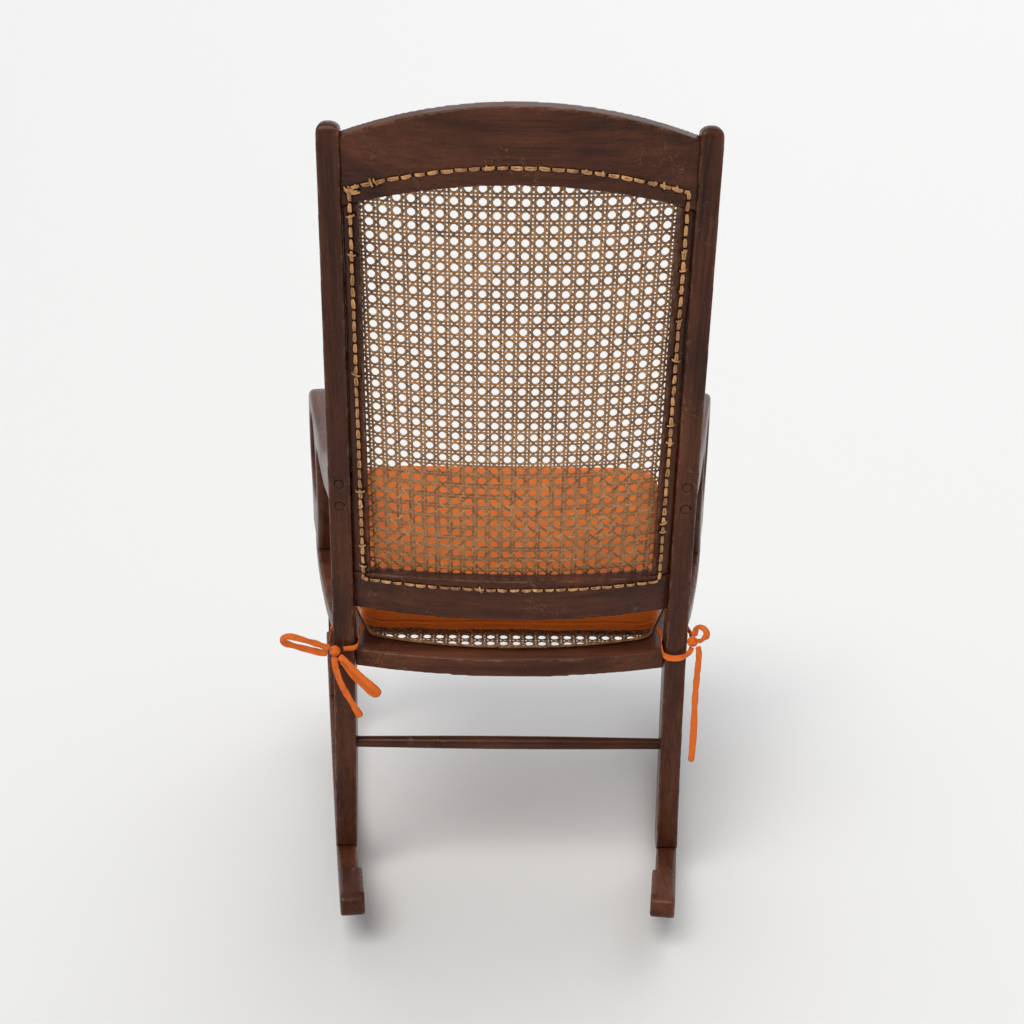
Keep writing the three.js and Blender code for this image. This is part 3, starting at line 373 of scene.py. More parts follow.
def cloth_group():
    """Plain woven cotton: crossed threads as height, slubs and soft fading as colour."""
    group, given, out = new_group(
        "woven_cotton",
        [("Coordinates", "NodeSocketVector", None), ("Shade", "NodeSocketColor", None),
         ("Cloth", "NodeSocketColor", None)],
        [("Color", "NodeSocketColor"), ("Height", "NodeSocketFloat")])
    place = given.outputs["Coordinates"]
    threads = []
    for direction in ("X", "Y"):
        wave = add_node(group, "ShaderNodeTexWave", [("Vector", place)], bands_direction=direction,
                        Scale=420.0, Distortion=1.2)
        threads.append(wave.outputs["Fac"])
    weave = calculate(group, "MULTIPLY", threads[0], threads[1])
    slubs = noise_texture(group, stretched(group, place, (900, 90, 300)), 1.0, 3, 0.6)
    fade = noise_texture(group, place, 8.0, 4, 0.6)
    share = remap(group, weave, 0, 1, 0.25, 0.7)
    share = calculate(group, "ADD", share, noise_share(group, slubs, -0.15, 0.3))
    share = calculate(group, "ADD", share, noise_share(group, fade, -0.25, 0.2))
    color = blend_colors(group, share, given.outputs["Shade"], given.outputs["Cloth"])
    group.links.new(color, out.inputs["Color"])
    group.links.new(calculate(group, "ADD", weave, slubs), out.inputs["Height"])
    return group


GROUP_MAKERS = {
    "wood_grain": wood_grain_group,
    "handling_wear": wear_group,
    "split_cane": strand_group,
    "woven_cotton": cloth_group,
}


def group_node(tree, name, links=(), **values):
    group = bpy.data.node_groups.get(name) or GROUP_MAKERS[name]()
    made = tree.nodes.new("ShaderNodeGroup")
    made.node_tree = group
    set_sockets(made, **values)
    for socket, source in links:
        tree.links.new(source, made.inputs[socket])
    return made


def new_material(name):
    """An empty material with its shader, and the object coordinates."""
    material = bpy.data.materials.new(name)
    material.use_nodes = True
    tree = material.node_tree
    shader = tree.nodes["Principled BSDF"]
    place = tree.nodes.new("ShaderNodeTexCoord").outputs["Object"]
    return material, tree, shader, place


def add_bump(tree, shader, height, distance, strength):
    bump = add_node(tree, "ShaderNodeBump", [("Height", height)], Distance=distance, Strength=strength)
    tree.links.new(bump.outputs["Normal"], shader.inputs["Normal"])


# How a piece's grain runs, as the turn that lays its length along Z.
GRAIN_TURNS = {
    "upright": (BACK_LEAN, 0, 0),
    "across": (0, QUARTER_TURN, 0),
    "lengthwise": (QUARTER_TURN, 0, 0),
}


def walnut(grain, worn=0.8, scuffs=0.45, finish=""):
    """Dark varnished walnut whose grain runs the given way."""
    name = "walnut_" + grain + finish
    if name in bpy.data.materials:
        return bpy.data.materials[name]
    material, tree, shader, place = new_material(name)
    along = stretched(tree, place, (1, 1, 1), GRAIN_TURNS[grain])
    figure = group_node(tree, "wood_grain", [("Coordinates", along)],
                        Dark=finishes().wood_dark, Light=finishes().wood_light)
    wear = group_node(tree, "handling_wear", [("Coordinates", place)])
    edge = calculate(tree, "MULTIPLY", wear.outputs["Edges"], worn)
    scratch = calculate(tree, "MULTIPLY", wear.outputs["Scratches"], scuffs)
    color = blend_colors(tree, edge, figure.outputs["Color"], finishes().wood_worn)
    color = blend_colors(tree, scratch, color, finishes().wood_worn)
    rough = calculate(tree, "ADD", figure.outputs["Roughness"], calculate(tree, "MULTIPLY", edge, 0.3))
    cut = calculate(tree, "MULTIPLY", scratch, 2.0)
    height = calculate(tree, "SUBTRACT", figure.outputs["Height"], cut)
    tree.links.new(color, shader.inputs["Base Color"])
    tree.links.new(rough, shader.inputs["Roughness"])
    add_bump(tree, shader, height, 0.00018, 0.6)
    set_sockets(shader, Specular_IOR_Level=0.11, Coat_Weight=0.13, Coat_Roughness=0.14)
    return material


def cane(lie, turn, brightness=1.0):
    """Split cane whose strands lie along Z once turned."""
    name = "cane_" + lie
    if name in bpy.data.materials:
        return bpy.data.materials[name]
    material, tree, shader, place = new_material(name)
    along = stretched(tree, place, (1, 1, 1), turn)
    strand = group_node(tree, "split_cane", [("Coordinates", along)],
                        Dark=[v * brightness for v in finishes().cane_dark[:3]] + [1],
                        Light=[min(v * brightness, 0.9) for v in finishes().cane_light[:3]] + [1])
    tree.links.new(strand.outputs["Color"], shader.inputs["Base Color"])
    set_sockets(shader, Roughness=0.42)
    add_bump(tree, shader, strand.outputs["Height"], 0.0001, 0.6)
    return material


def cotton():
    """The cushion's faded cotton, matt and faintly downy."""
    name = "cushion_cotton"
    if name in bpy.data.materials:
        return bpy.data.materials[name]
    material, tree, shader, place = new_material(name)
    cloth = group_node(tree, "woven_cotton", [("Coordinates", place)],
                       Shade=finishes().cloth_shade, Cloth=finishes().cloth)
    tree.links.new(cloth.outputs["Color"], shader.inputs["Base Color"])
    set_sockets(shader, Roughness=0.88, Specular_IOR_Level=0.12, Sheen_Weight=0.04, Sheen_Roughness=0.45)
    add_bump(tree, shader, cloth.outputs["Height"], 0.0002, 0.7)
    return material


def satin():
    """Ribbed ribbon, whose colour wanders a little towards the cushion's."""
    name = "tie_ribbon"
    if name in bpy.data.materials:
        return bpy.data.materials[name]
    material, tree, shader, place = new_material(name)
    ribs = noise_texture(tree, stretched(tree, place, (1800, 1800, 1800)), 1.0, 2, 0.5)
    creases = noise_texture(tree, place, 160.0, 3, 0.6)
    color = blend_colors(tree, noise_share(tree, creases, 0.0, 0.6), finishes().ribbon, finishes().cloth)
    tree.links.new(color, shader.inputs["Base Color"])
    set_sockets(shader, Roughness=0.5, Specular_IOR_Level=0.25)
    add_bump(tree, shader, calculate(tree, "ADD", ribs, creases), 0.0003, 0.8)
    return material


def steel():
    """Old screws, tarnished in patches."""
    material, tree, shader, place = new_material("screw_steel")
    stain = noise_texture(tree, place, 600.0, 3, 0.6)
    tarnished, bright = (0.30, 0.28, 0.26, 1), (0.52, 0.50, 0.48, 1)
    tree.links.new(blend_colors(tree, stain, tarnished, bright), shader.inputs["Base Color"])
    tree.links.new(noise_share(tree, stain, 0.3, 0.55), shader.inputs["Roughness"])
    set_sockets(shader, Metallic=1.0)
    return material


# ---------------------------------------------------------------- making pieces


def mesh_of(node):
    """A CAD node's shape as a bmesh, with its corners merged."""
    bm = bmesh.new()
    bm.from_mesh(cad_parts[node].data)
    bmesh.ops.remove_doubles(bm, verts=bm.verts, dist=SAME_CAD_PLACE)
    return bm


def corners(node):
    """The places of a CAD node's vertices."""
    return [v.co.copy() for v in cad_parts[node].data.vertices]


def add_piece(name, mesh, material, replaces=()):
    """A finished piece at the origin, riding on the chair."""
    mesh.name = name
    mesh.materials.clear()
    mesh.materials.append(material)
    mesh.shade_smooth()
    piece = bpy.data.objects.new(name, mesh)
    bpy.context.scene.collection.objects.link(piece)
    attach(piece, BODY)
    if replaces:
        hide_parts(*replaces)
    return piece


def refinish(node, material):
    """Gives a CAD node whose shape is right its final material."""
    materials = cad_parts[node].data.materials
    materials.clear()
    materials.append(material)


def to_mesh(bm):
    mesh = bpy.data.meshes.new("piece")
    bm.to_mesh(mesh)
    bm.free()
    return mesh


def applied(mesh, modifiers):
    """The mesh with modifiers applied, each given as its kind and its settings."""
    holder = bpy.data.objects.new("holder", mesh)
    bpy.context.scene.collection.objects.link(holder)
    for kind, settings in modifiers:
        modifier = holder.modifiers.new(kind.lower(), kind)
        for key, value in settings.items():
            setattr(modifier, key, value)
    return mesh_from(holder)


def softened(name, nodes, grain, voxel_share, passes):
    """Wood as it is after years of sanding and varnish: the CAD shapes with every arris eased."""
    bm = bmesh.new()
    for node in nodes:
        bm.from_mesh(to_mesh(mesh_of(node)))
    voxel = sizes().wood_voxel * voxel_share
    mesh = applied(to_mesh(bm), [
        ("REMESH", {"mode": "VOXEL", "voxel_size": voxel, "adaptivity": 0.0}),
        ("SMOOTH", {"factor": 0.5, "iterations": passes}),
    ])
    return add_piece(name, mesh, walnut(grain), nodes)


def strips(lines, width, thickness):
    """Flat strips along many open lines, as one mesh."""
    curve = bpy.data.curves.new("strips", "CURVE")
    curve.dimensions = "3D"
    curve.twist_mode = "Z_UP"
    curve.fill_mode = "FULL"
    curve.use_fill_caps = True
    curve.bevel_resolution = 0
    curve.bevel_depth = thickness / 2
    curve.extrude = max(width / 2 - thickness / 2, 0)
    for line in lines:
        spline = curve.splines.new("POLY")
        spline.points.add(len(line) - 1)
        for point, place in zip(spline.points, line):
            point.co = (*place, 1)
            point.tilt = QUARTER_TURN
    return mesh_from(curve)


def bent(mesh, place):
    """Carries a mesh's vertices through a function of (u, v, w), and mends its normals."""
    bm = bmesh.new()
    bm.from_mesh(mesh)
    for vert in bm.verts:
        vert.co = place(*vert.co)
    bmesh.ops.remove_doubles(bm, verts=bm.verts, dist=SAME_PLACE)
    bmesh.ops.recalc_face_normals(bm, faces=bm.faces)
    bm.to_mesh(mesh)
    bm.free()
    return mesh


# ---------------------------------------------------------------- the two caned panels


class BackPanel:
    """The bowed back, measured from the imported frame: x across, v up its slope, w out to the rear.

    Its top is its rear face and its bottom its front face, as if it lay down.
    """

    def __init__(self):
        sheet = corners("back_cane")
        middle = [p for p in sheet if abs(p.x) < 1 * MM]
        bottom = min(middle, key=lambda p: p.z + p.y)
        same_side = [p for p in middle if abs(self.offset(bottom, p)) < 0.8 * MM]
        top = max(same_side, key=lambda p: p.z)
        self.along = (top - bottom).normalized()
        self.out = Vector((0, self.along.z, -self.along.y))
        corner = min((p for p in sheet if p.x > 150 * MM), key=lambda p: (p - bottom).dot(self.along))
        self.origin = Vector((0, bottom.y, bottom.z))
        # both faces of the sheet have a corner there, and the bow is the mean of how far they drop
        drops = [
            (self.origin - p).dot(self.out) for p in sheet
            if abs(p.x - corner.x) < 1 * MM and (p - corner).length < 30 * MM
        ]
        self.curve = (max(drops) + min(drops)) / 2 / corner.x**2
        flat = [self.flattened(p) for p in sheet]
        self.bottom = min(p.z for p in flat)
        self.top = max(p.z for p in flat)
        self.outline = hull([(p.x, p.y) for p in flat])

    @staticmethod
    def offset(a, b):
        """How far b is out of a line up the back through a."""
        return (b - a).dot(Vector((0, math.cos(BACK_LEAN), -math.sin(BACK_LEAN))))

    def place(self, x, v, w):
        return Vector((x, 0, 0)) + self.origin + self.along * v + self.out * (w - self.curve * x * x)

    def flattened(self, point):
        step = point - self.origin
        return Vector((point.x, step.dot(self.along), step.dot(self.out) + self.curve * point.x**2))


class SeatPanel:
    """The flat seat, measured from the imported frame: x across, v towards the rear, w upwards."""

    def __init__(self):
        sheet = corners("seat_cane")
        rear = max(sheet, key=lambda p: p.y)
        front = min(sheet, key=lambda p: p.y)
        across = Vector((0, rear.y - front.y, rear.z - front.z)).normalized()
        top = max(sheet, key=lambda p: p.z - p.y * across.z / across.y)
        self.along = across
        self.out = Vector((0, -across.z, across.y))
        self.origin = Vector((0, 0, top.z - top.y * across.z / across.y))
        flat = [self.flattened(p) for p in sheet]
        self.top = max(p.z for p in flat)
        self.bottom = min(p.z for p in flat)
        self.outline = hull([(p.x, p.y) for p in flat])

    def place(self, x, v, w):
        return Vector((x, 0, 0)) + self.origin + self.along * v + self.out * w

    def flattened(self, point):
        step = point - self.origin
        return Vector((point.x, step.dot(self.along), step.dot(self.out)))


def hull(points):
    """The convex outline round flat points, without corners that lie almost together."""
    found = [Vector(points[i]) for i in geometry.convex_hull_2d(points)]
    kept = [found[0]]
    for corner in found[1:]:
        if (corner - kept[-1]).length > 2 * MM and (corner - kept[0]).length > 2 * MM:
            kept.append(corner)
    return kept


NEVER_CROSSES = 1e-12  # a line that closes on an edge more slowly than this runs along it
SHORTEST_SHARE = 1e-3  # of a strand, that is worth weaving


def clipped(start, end, outline):
    """The part of a straight line inside a convex outline, as shares of it, or None."""
    low, high = 0.0, 1.0
    step = end - start
    swept = sum(a.x * b.y - a.y * b.x for a, b in zip(outline, [*outline[1:], outline[0]]))
    turn = math.copysign(1, swept)
    for i, a in enumerate(outline):
        edge = outline[(i + 1) % len(outline)] - a
        inward = Vector((-edge.y, edge.x)) * turn
        depth, rate = inward.dot(start - a), inward.dot(step)
        if abs(rate) < NEVER_CROSSES:
            if depth < 0:
                return None
            continue
        share = -depth / rate
        low, high = (max(low, share), high) if rate > 0 else (low, min(high, share))
    return (low, high) if high - low > SHORTEST_SHARE else None


def strand(start, end, outline, stops):
    """A strand's points: where it meets the outline, and each stop between, as (share, height)."""
    reach = clipped(start, end, outline)
    if reach is None:
        return None
    inside = [(s, w) for s, w in stops if reach[0] < s < reach[1]]
    if len(inside) < 2:
        return None
    shares = [(reach[0], 0.0), *inside, (reach[1], 0.0)]
    return [(*start.lerp(end, s), w) for s, w in shares]


WEAVE_LIFT = 0.5 * MM  # how far a strand rises or sinks where it passes another
DIAGONAL_LIFT = 2.2  # the same for a diagonal, which passes a pair, as a share of it


def six_way_weave(outline, pitch_x, pitch_v, spread):
    """The strands of six-way caning: uprights and levels in pairs, and single diagonals each way.

    Uprights and levels of a pair pass over and under each other. The diagonals cross midway
    between the pairs' crossings, which leaves a round hole in the middle of each square.
    """
    xs = [p.x for p in outline]
    vs = [p.y for p in outline]
    columns = math.ceil((max(xs) - min(xs)) / 2 / pitch_x) + 1
    low_row = math.floor(min(vs) / pitch_v) - 1
    high_row = math.ceil(max(vs) / pitch_v) + 1
    pairs = {"uprights": [], "levels": [], "rising": [], "falling": []}
    bottom, top = low_row * pitch_v, high_row * pitch_v
    side = columns * pitch_x
    half = spread / 2
    for i in range(-columns, columns + 1):
        for s in (0, 1):
            x = (i + (s - 0.5) * spread) * pitch_x
            stops = []
            for j in range(low_row, high_row):
                for t, offset in ((0, -half), (1, half)):
                    over = 1 if s != t else -1
                    stops.append((((j + offset) * pitch_v - bottom) / (top - bottom), over * WEAVE_LIFT))
                stops.append((((j + 0.5) * pitch_v - bottom) / (top - bottom), 0.0))
            pairs["uprights"].append(strand(Vector((x, bottom)), Vector((x, top)), outline, stops))
    for j in range(low_row, high_row + 1):
        for t in (0, 1):
            v = (j + (t - 0.5) * spread) * pitch_v
            stops = []
            for i in range(-columns, columns):
                for s, offset in ((0, -half), (1, half)):
                    over = -1 if s != t else 1
                    stops.append((((i + offset) * pitch_x + side) / (2 * side), over * WEAVE_LIFT))
                stops.append((((i + 0.5) * pitch_x + side) / (2 * side), 0.0))
            pairs["levels"].append(strand(Vector((-side, v)), Vector((side, v)), outline, stops))
    rows = high_row - low_row
    # a quarter of a square at a time: between, over a pair, between, under a pair
    heights = (0.0, DIAGONAL_LIFT * WEAVE_LIFT, 0.0, -DIAGONAL_LIFT * WEAVE_LIFT)
    for name, rise in (("rising", 1), ("falling", -1)):
        for k in range(-columns - rows, columns + rows + 1):
            # crosses the bottom line at (k + 1/2) columns, and goes up one row for each column
            start = Vector(((k + 0.5) * pitch_x, bottom))
            end = Vector(((k + 0.5 + rise * rows) * pitch_x, top))
            stops = [(m / 4 / rows, heights[(m + rise) % 4]) for m in range(4 * rows)]
            pairs[name].append(strand(start, end, outline, stops))
    return {name: [line for line in lines if line] for name, lines in pairs.items()}


def stitches_along(line, pitch, height, seed):
    """Loops from hole to hole along a closed line, each of two strands, some of them tied across."""
    rng = random.Random(seed)
    lengths = [(line[(i + 1) % len(line)] - p).length for i, p in enumerate(line)]
    total = sum(lengths)
    count = round(total / pitch)
    step = total / count

    def at(distance):
        distance %= total
        for i, length in enumerate(lengths):
            if distance <= length:
                ahead = (line[(i + 1) % len(line)] - line[i]).normalized()
                return line[i] + ahead * distance, Vector((ahead.y, -ahead.x))
            distance -= length
        return line[0], Vector((1, 0))

    # share of the way between two holes, and height over the wood as a share of the loop's
    profile = [(0.0, -0.8), (0.08, 0.35), (0.3, 0.95), (0.55, 1.0), (0.8, 0.85), (0.93, 0.3), (1.0, -0.8)]
    tied_across = 0.22
    stitches = []
    for n in range(count):
        slack = rng.uniform(0.02, 0.14)
        start, end = (n + slack) * step, (n + 1 - rng.uniform(0.02, 0.14)) * step
        lean = rng.uniform(-1, 1) * 1.1 * MM
        for strand_side in (-1, 1):
            spread = strand_side * rng.uniform(0.9, 1.5) * MM
            rise = height * rng.uniform(0.8, 1.3)
            points = []
            for share, lift in profile:
                middle, side = at(start + (end - start) * share)
                middle = middle + side * (spread * math.sin(share * math.pi) ** 0.5 + lean * (share - 0.5))
                points.append((*middle, rise * lift))
            stitches.append(points)
        if rng.random() < tied_across:
            middle, side = at((n + rng.uniform(0.1, 0.9)) * step)
            tilt = Vector((rng.uniform(-1, 1), rng.uniform(-1, 1))) * 2 * MM
            reach = rng.uniform(2.4, 4.2) * MM
            stitches.append([
                (*(middle + (side * reach + tilt) * (2 * share - 1)), height * (lift * 1.2 + 0.45))
                for share, lift in profile
            ])
    return stitches


# ---------------------------------------------------------------- operators


CAMERA_LENS = 57.2  # in mm, on a sensor 36 mm wide
CAMERA_PLACE = (0.0265, 2.121, 1.332)
CAMERA_PITCH, CAMERA_YAW, CAMERA_ROLL = math.radians(21.51), math.radians(0.78), math.radians(0.86)


class ChairCamera(bpy.types.Operator):
    """Sets the camera behind the chair, looking slightly down"""

    bl_idname = "chair.camera"
    bl_label = "Camera"

    def execute(self, context):
        level, down = math.cos(CAMERA_PITCH), math.sin(CAMERA_PITCH)
        ahead = Vector((-math.sin(CAMERA_YAW) * level, -math.cos(CAMERA_YAW) * level, -down))
        right = ahead.cross(UP).normalized()
        top = right.cross(ahead)
        cos, sin = math.cos(CAMERA_ROLL), math.sin(CAMERA_ROLL)
        right, top = right * cos + top * sin, top * cos - right * sin
        data = bpy.data.cameras.new("camera")
        data.lens = CAMERA_LENS
        data.sensor_width = 36
        camera = bpy.data.objects.new("camera", data)
        turn = Matrix((right, top, -ahead)).transposed().to_4x4()
        camera.matrix_world = Matrix.Translation(CAMERA_PLACE) @ turn
        context.scene.collection.objects.link(camera)
        context.scene.camera = camera
        return {"FINISHED"}


def smooth_route(route, steps=4):
    """Points along a smooth curve through the route's points."""
    places = [Vector(p) for p in route]
    padded = [places[0] * 2 - places[1], *places, places[-1] * 2 - places[-2]]
    made = []
    for before, a, b, after in zip(padded, padded[1:], padded[2:], padded[3:]):
        for k in range(steps):
            t = k / steps
            made.append(0.5 * (2 * a + (b - before) * t + (2 * before - 5 * a + 4 * b - after) * t * t
                               + (3 * a - before - 3 * b + after) * t**3))
    return [*made, places[-1]]


# shares of the ribbon's width, as it curls where it hangs or is pulled tight
HANGING_WIDTH, DRAWN_WIDTH = 0.86, 0.78
FOLD_DEPTH, CRUMPLE = 1.1 * MM, 0.5 * MM
TWIST, WIDTH_CHANGE = 0.8, 0.22  # in radians, and a share of its width: how much a ribbon wanders at most
CUT_WIDTH = 0.6  # share of the width that is left at a hanging ribbon's ends


def ribbon_mesh(route, hanging):
    """A lightly folded ribbon on a smooth route. It faces the rear where it hangs, else stands on edge."""
    line = smooth_route(route)
    across, along = 4, len(line) - 1
    bm = bmesh.new()
    bmesh.ops.create_grid(bm, x_segments=across, y_segments=along, size=1)
    half = sizes().ribbon_width / 2 * (HANGING_WIDTH if hanging else DRAWN_WIDTH)
    for vert in bm.verts:
        place = (vert.co.y + 1) / 2 * along
        i = min(round(place), along)
        middle = line[i]
        tangent = (line[min(i + 1, along)] - line[max(i - 1, 0)]).normalized()
        side = tangent.cross(REARWARDS) if hanging else UP - tangent * UP.dot(tangent)
        side.normalize()
        side = Matrix.Rotation(noise.noise(middle * 70) * TWIST, 3, tangent) @ side
        face = tangent.cross(side)
        width = half * (1.0 + WIDTH_CHANGE * noise.noise(middle * 55 + Vector((5, 0, 0))))
        if hanging and i in (0, along):
            width *= CUT_WIDTH
        share = vert.co.x
        fold = FOLD_DEPTH * (1 - abs(share)) * math.copysign(1, noise.noise(middle * 30))
        fold += CRUMPLE * noise.noise(middle * 200 + side * share)
        vert.co = middle + side * width * share + face * fold
    bmesh.ops.solidify(bm, geom=bm.faces, thickness=sizes().ribbon_thickness)
    bmesh.ops.recalc_face_normals(bm, faces=bm.faces)
    return to_mesh(bm)


KNOT_TILT = 0.5


def knot_mesh(middle):
    """A small tight knot: a ridged lump with a turn of ribbon wrapped round it."""
    bm = bmesh.new()
    bmesh.ops.create_icosphere(bm, subdivisions=3, radius=KNOT_RADIUS)
    for vert in bm.verts:
        ridge = 0.10 * math.cos(3 * math.atan2(vert.co.z, vert.co.x) + 40 * abs(vert.co.y))
        vert.co *= 0.92 + ridge
        vert.co.y *= 0.85
    # the turn of ribbon is a flattened ring, spun round the lump at just under its radius
    wrap_radius, wrap_reach = KNOT_RADIUS * 0.32, KNOT_RADIUS * 0.92
    bmesh.ops.create_circle(bm, segments=10, radius=wrap_radius, cap_ends=False)
    ring = [v for v in bm.verts if len(v.link_faces) == 0]
    bmesh.ops.scale(bm, verts=ring, vec=(1.5, 0.6, 1))
    bmesh.ops.rotate(bm, verts=ring, cent=(0, 0, 0), matrix=Matrix.Rotation(QUARTER_TURN, 3, "Z"))
    bmesh.ops.translate(bm, verts=ring, vec=(wrap_reach, 0, 0))
    edges = [e for e in bm.edges if e.verts[0] in ring and e.verts[1] in ring]
    bmesh.ops.spin(bm, geom=ring + edges, cent=(0, 0, 0), axis=(0, 1, 0), angle=2 * math.pi, steps=20,
                   use_merge=True)
    bmesh.ops.remove_doubles(bm, verts=bm.verts, dist=SAME_PLACE)
    bmesh.ops.recalc_face_normals(bm, faces=bm.faces)
    bmesh.ops.rotate(bm, verts=bm.verts, cent=(0, 0, 0), matrix=Matrix.Rotation(KNOT_TILT, 3, "Y"))
    bmesh.ops.translate(bm, verts=bm.verts, vec=middle)
    return to_mesh(bm)


def route_length(route):
    """The length of ribbon on a route."""
    line = smooth_route(route)
    return sum((b - a).length for a, b in zip(line, line[1:]))


class ChairTies(bpy.types.Operator):
    """Ties the cushion to the back posts with flat ribbon, knotted behind them"""

    bl_idname = "chair.ties"
    bl_label = "Cushion ties"

    def execute(self, context):
        material = satin()
        knots = {
            side: add_piece(side + "_bow_knot", knot_mesh(middle), material, [side + "_tie_knot"])
            for side, middle in (("left", LEFT_KNOT), ("right", RIGHT_KNOT))
        }
        for node, route in TIE_ROUTES.items():
            hanging = node.endswith(("tail", "loop"))
            name = node.replace("_tie_", "_ribbon_")
            piece = add_piece(name, ribbon_mesh(route, hanging), material, [node])
            route_length(route)
            smooth_route(route)
        return {"FINISHED"}


class ChairStage(bpy.types.Operator):
    """Lays a plain pale floor and sets soft studio light"""

    bl_idname = "chair.stage"
    bl_label = "Floor and light"

    def execute(self, context):
        bm = bmesh.new()
        bmesh.ops.create_grid(bm, x_segments=1, y_segments=1, size=40)
        floor = bpy.data.objects.new("floor", to_mesh(bm))
        context.scene.collection.objects.link(floor)
        material, _, shader, _ = new_material("studio_floor")
        set_sockets(shader, Base_Color=finishes().floor, Roughness=0.6)
        floor.data.materials.append(material)
        world = bpy.data.worlds.new("studio")
        world.use_nodes = True
        tree = world.node_tree
        direction = tree.nodes.new("ShaderNodeTexCoord").outputs["Generated"]
        split = add_node(tree, "ShaderNodeSeparateXYZ", [("Vector", direction)])
        # the room is bright in front of the chair and dimmer behind it, so the wood keeps its depth
        front_light, rear_light = 0.8, 0.28
        brightness = remap(tree, split.outputs["Y"], -0.5, 0.8, front_light, rear_light)
        tree.nodes["Background"].inputs["Color"].default_value = (0.95, 0.97, 1.0, 1)
        tree.links.new(brightness, tree.nodes["Background"].inputs["Strength"])
        context.scene.world = world
        # name, where it shines from, softness in radians, strength, colour
        lamps = [
            ("key", (1.0, 2.0, 3.4), 0.6, 1.75, (1.0, 0.985, 0.96)),
            ("front", (-0.8, -2.4, 2.6), 1.0, 0.75, (1.0, 1.0, 1.0)),
        ]
        for name, at, softness, strength, color in lamps:
            light = bpy.data.lights.new(name, "SUN")
            light.angle, light.energy, light.color = softness, strength, color
            lamp = bpy.data.objects.new(name, light)
            lamp.location = at
            lamp.rotation_euler = (-Vector(at)).to_track_quat("-Z", "Y").to_euler()
            context.scene.collection.objects.link(lamp)
        context.scene.view_settings.view_transform = "Standard"
        return {"FINISHED"}


class ChairBackFrame(bpy.types.Operator):
    """Makes the back posts, the crest, the lower rail and the stiles beside the cane"""

    bl_idname = "chair.back_frame"
    bl_label = "Back frame"

    def execute(self, context):
        for side in ("left", "right"):
            softened(side + "_post", [side + "_back_post"], "upright", 1.0, 7)
            softened(side + "_stile", [side + "_back_stile"], "upright", 1.0, 4)
        softened("crest", ["crest_rail"], "across", 1.0, 5)
        softened("lower_rail", ["lower_back_rail"], "across", 1.0, 5)
        return {"FINISHED"}


class ChairSeatFrame(bpy.types.Operator):
    """Makes the seat frame from its four rails"""

    bl_idname = "chair.seat_frame"
    bl_label = "Seat frame"

    def execute(self, context):
        rails = ["seat_rear_rail", "seat_front_rail", "left_seat_rail", "right_seat_rail"]
        softened("seat_frame", rails, "across", 1.1, 6)
        return {"FINISHED"}


class ChairArms(bpy.types.Operator):
    """Makes the scroll arms"""

    bl_idname = "chair.arms"
    bl_label = "Arms"

    def execute(self, context):
        for side in ("left", "right"):
            softened(side + "_scroll_arm", [side + "_arm", side + "_arm_scroll"], "lengthwise", 0.9, 12)
        return {"FINISHED"}


class ChairUndercarriage(bpy.types.Operator):
    """Makes the front legs, the stretchers and the rockers"""

    bl_idname = "chair.undercarriage"
    bl_label = "Legs and rockers"

    def execute(self, context):
        for side in ("left", "right"):
            softened(side + "_leg", [side + "_front_leg"], "upright", 1.0, 6)
            softened(side + "_runner", [side + "_rocker"], "lengthwise", 1.0, 10)
        softened("rear_rung", ["rear_stretcher"], "across", 0.7, 3)
        softened("front_rung", ["front_stretcher"], "across", 0.7, 3)
        return {"FINISHED"}


# the turns that lay each run of strands along Z, for the colour of its fibres
BACK_WEAVE_TURNS = {
    "uprights": (0, 0, 0),
    "levels": (0, QUARTER_TURN, 0),
    "rising": (0, -DIAGONAL, 0),
    "falling": (0, DIAGONAL, 0),
}
SEAT_WEAVE_TURNS = {
    "uprights": (QUARTER_TURN, 0, 0),
    "levels": (0, QUARTER_TURN, 0),
    "rising": (QUARTER_TURN, 0, -DIAGONAL),
    "falling": (QUARTER_TURN, 0, DIAGONAL),
}


def lay_weave(region, panel, weave, width, turns):
    """Makes a piece of each run of a weave, halfway through its panel's thickness."""
    middle = (panel.bottom + panel.top) / 2
    for name, lines in weave.items():
        mesh = strips(lines, width, sizes().strand_thickness)
        mesh = bent(mesh, lambda x, v, w: panel.place(x, v, w + middle))
        stands_for = [region + "_cane"] if name == "uprights" else []
        add_piece(f"{region}_weave_{name}", mesh, cane(f"{region}_{name}", turns[name]), stands_for)


OPENING_INSET = 11 * MM  # from the cane's own edge to the opening's
STITCH_HEIGHT = 1.7 * MM
STITCH_WIDTH, STITCH_THICKNESS = 2.3 * MM, 0.9 * MM
STITCH_SEED, TANGLE_SEED = 7, 3
# size of the flat disc of painted shade that stands for each lacing hole
RIM_RADIUS, RIM_THICKNESS = 2.3 * MM, 0.35 * MM


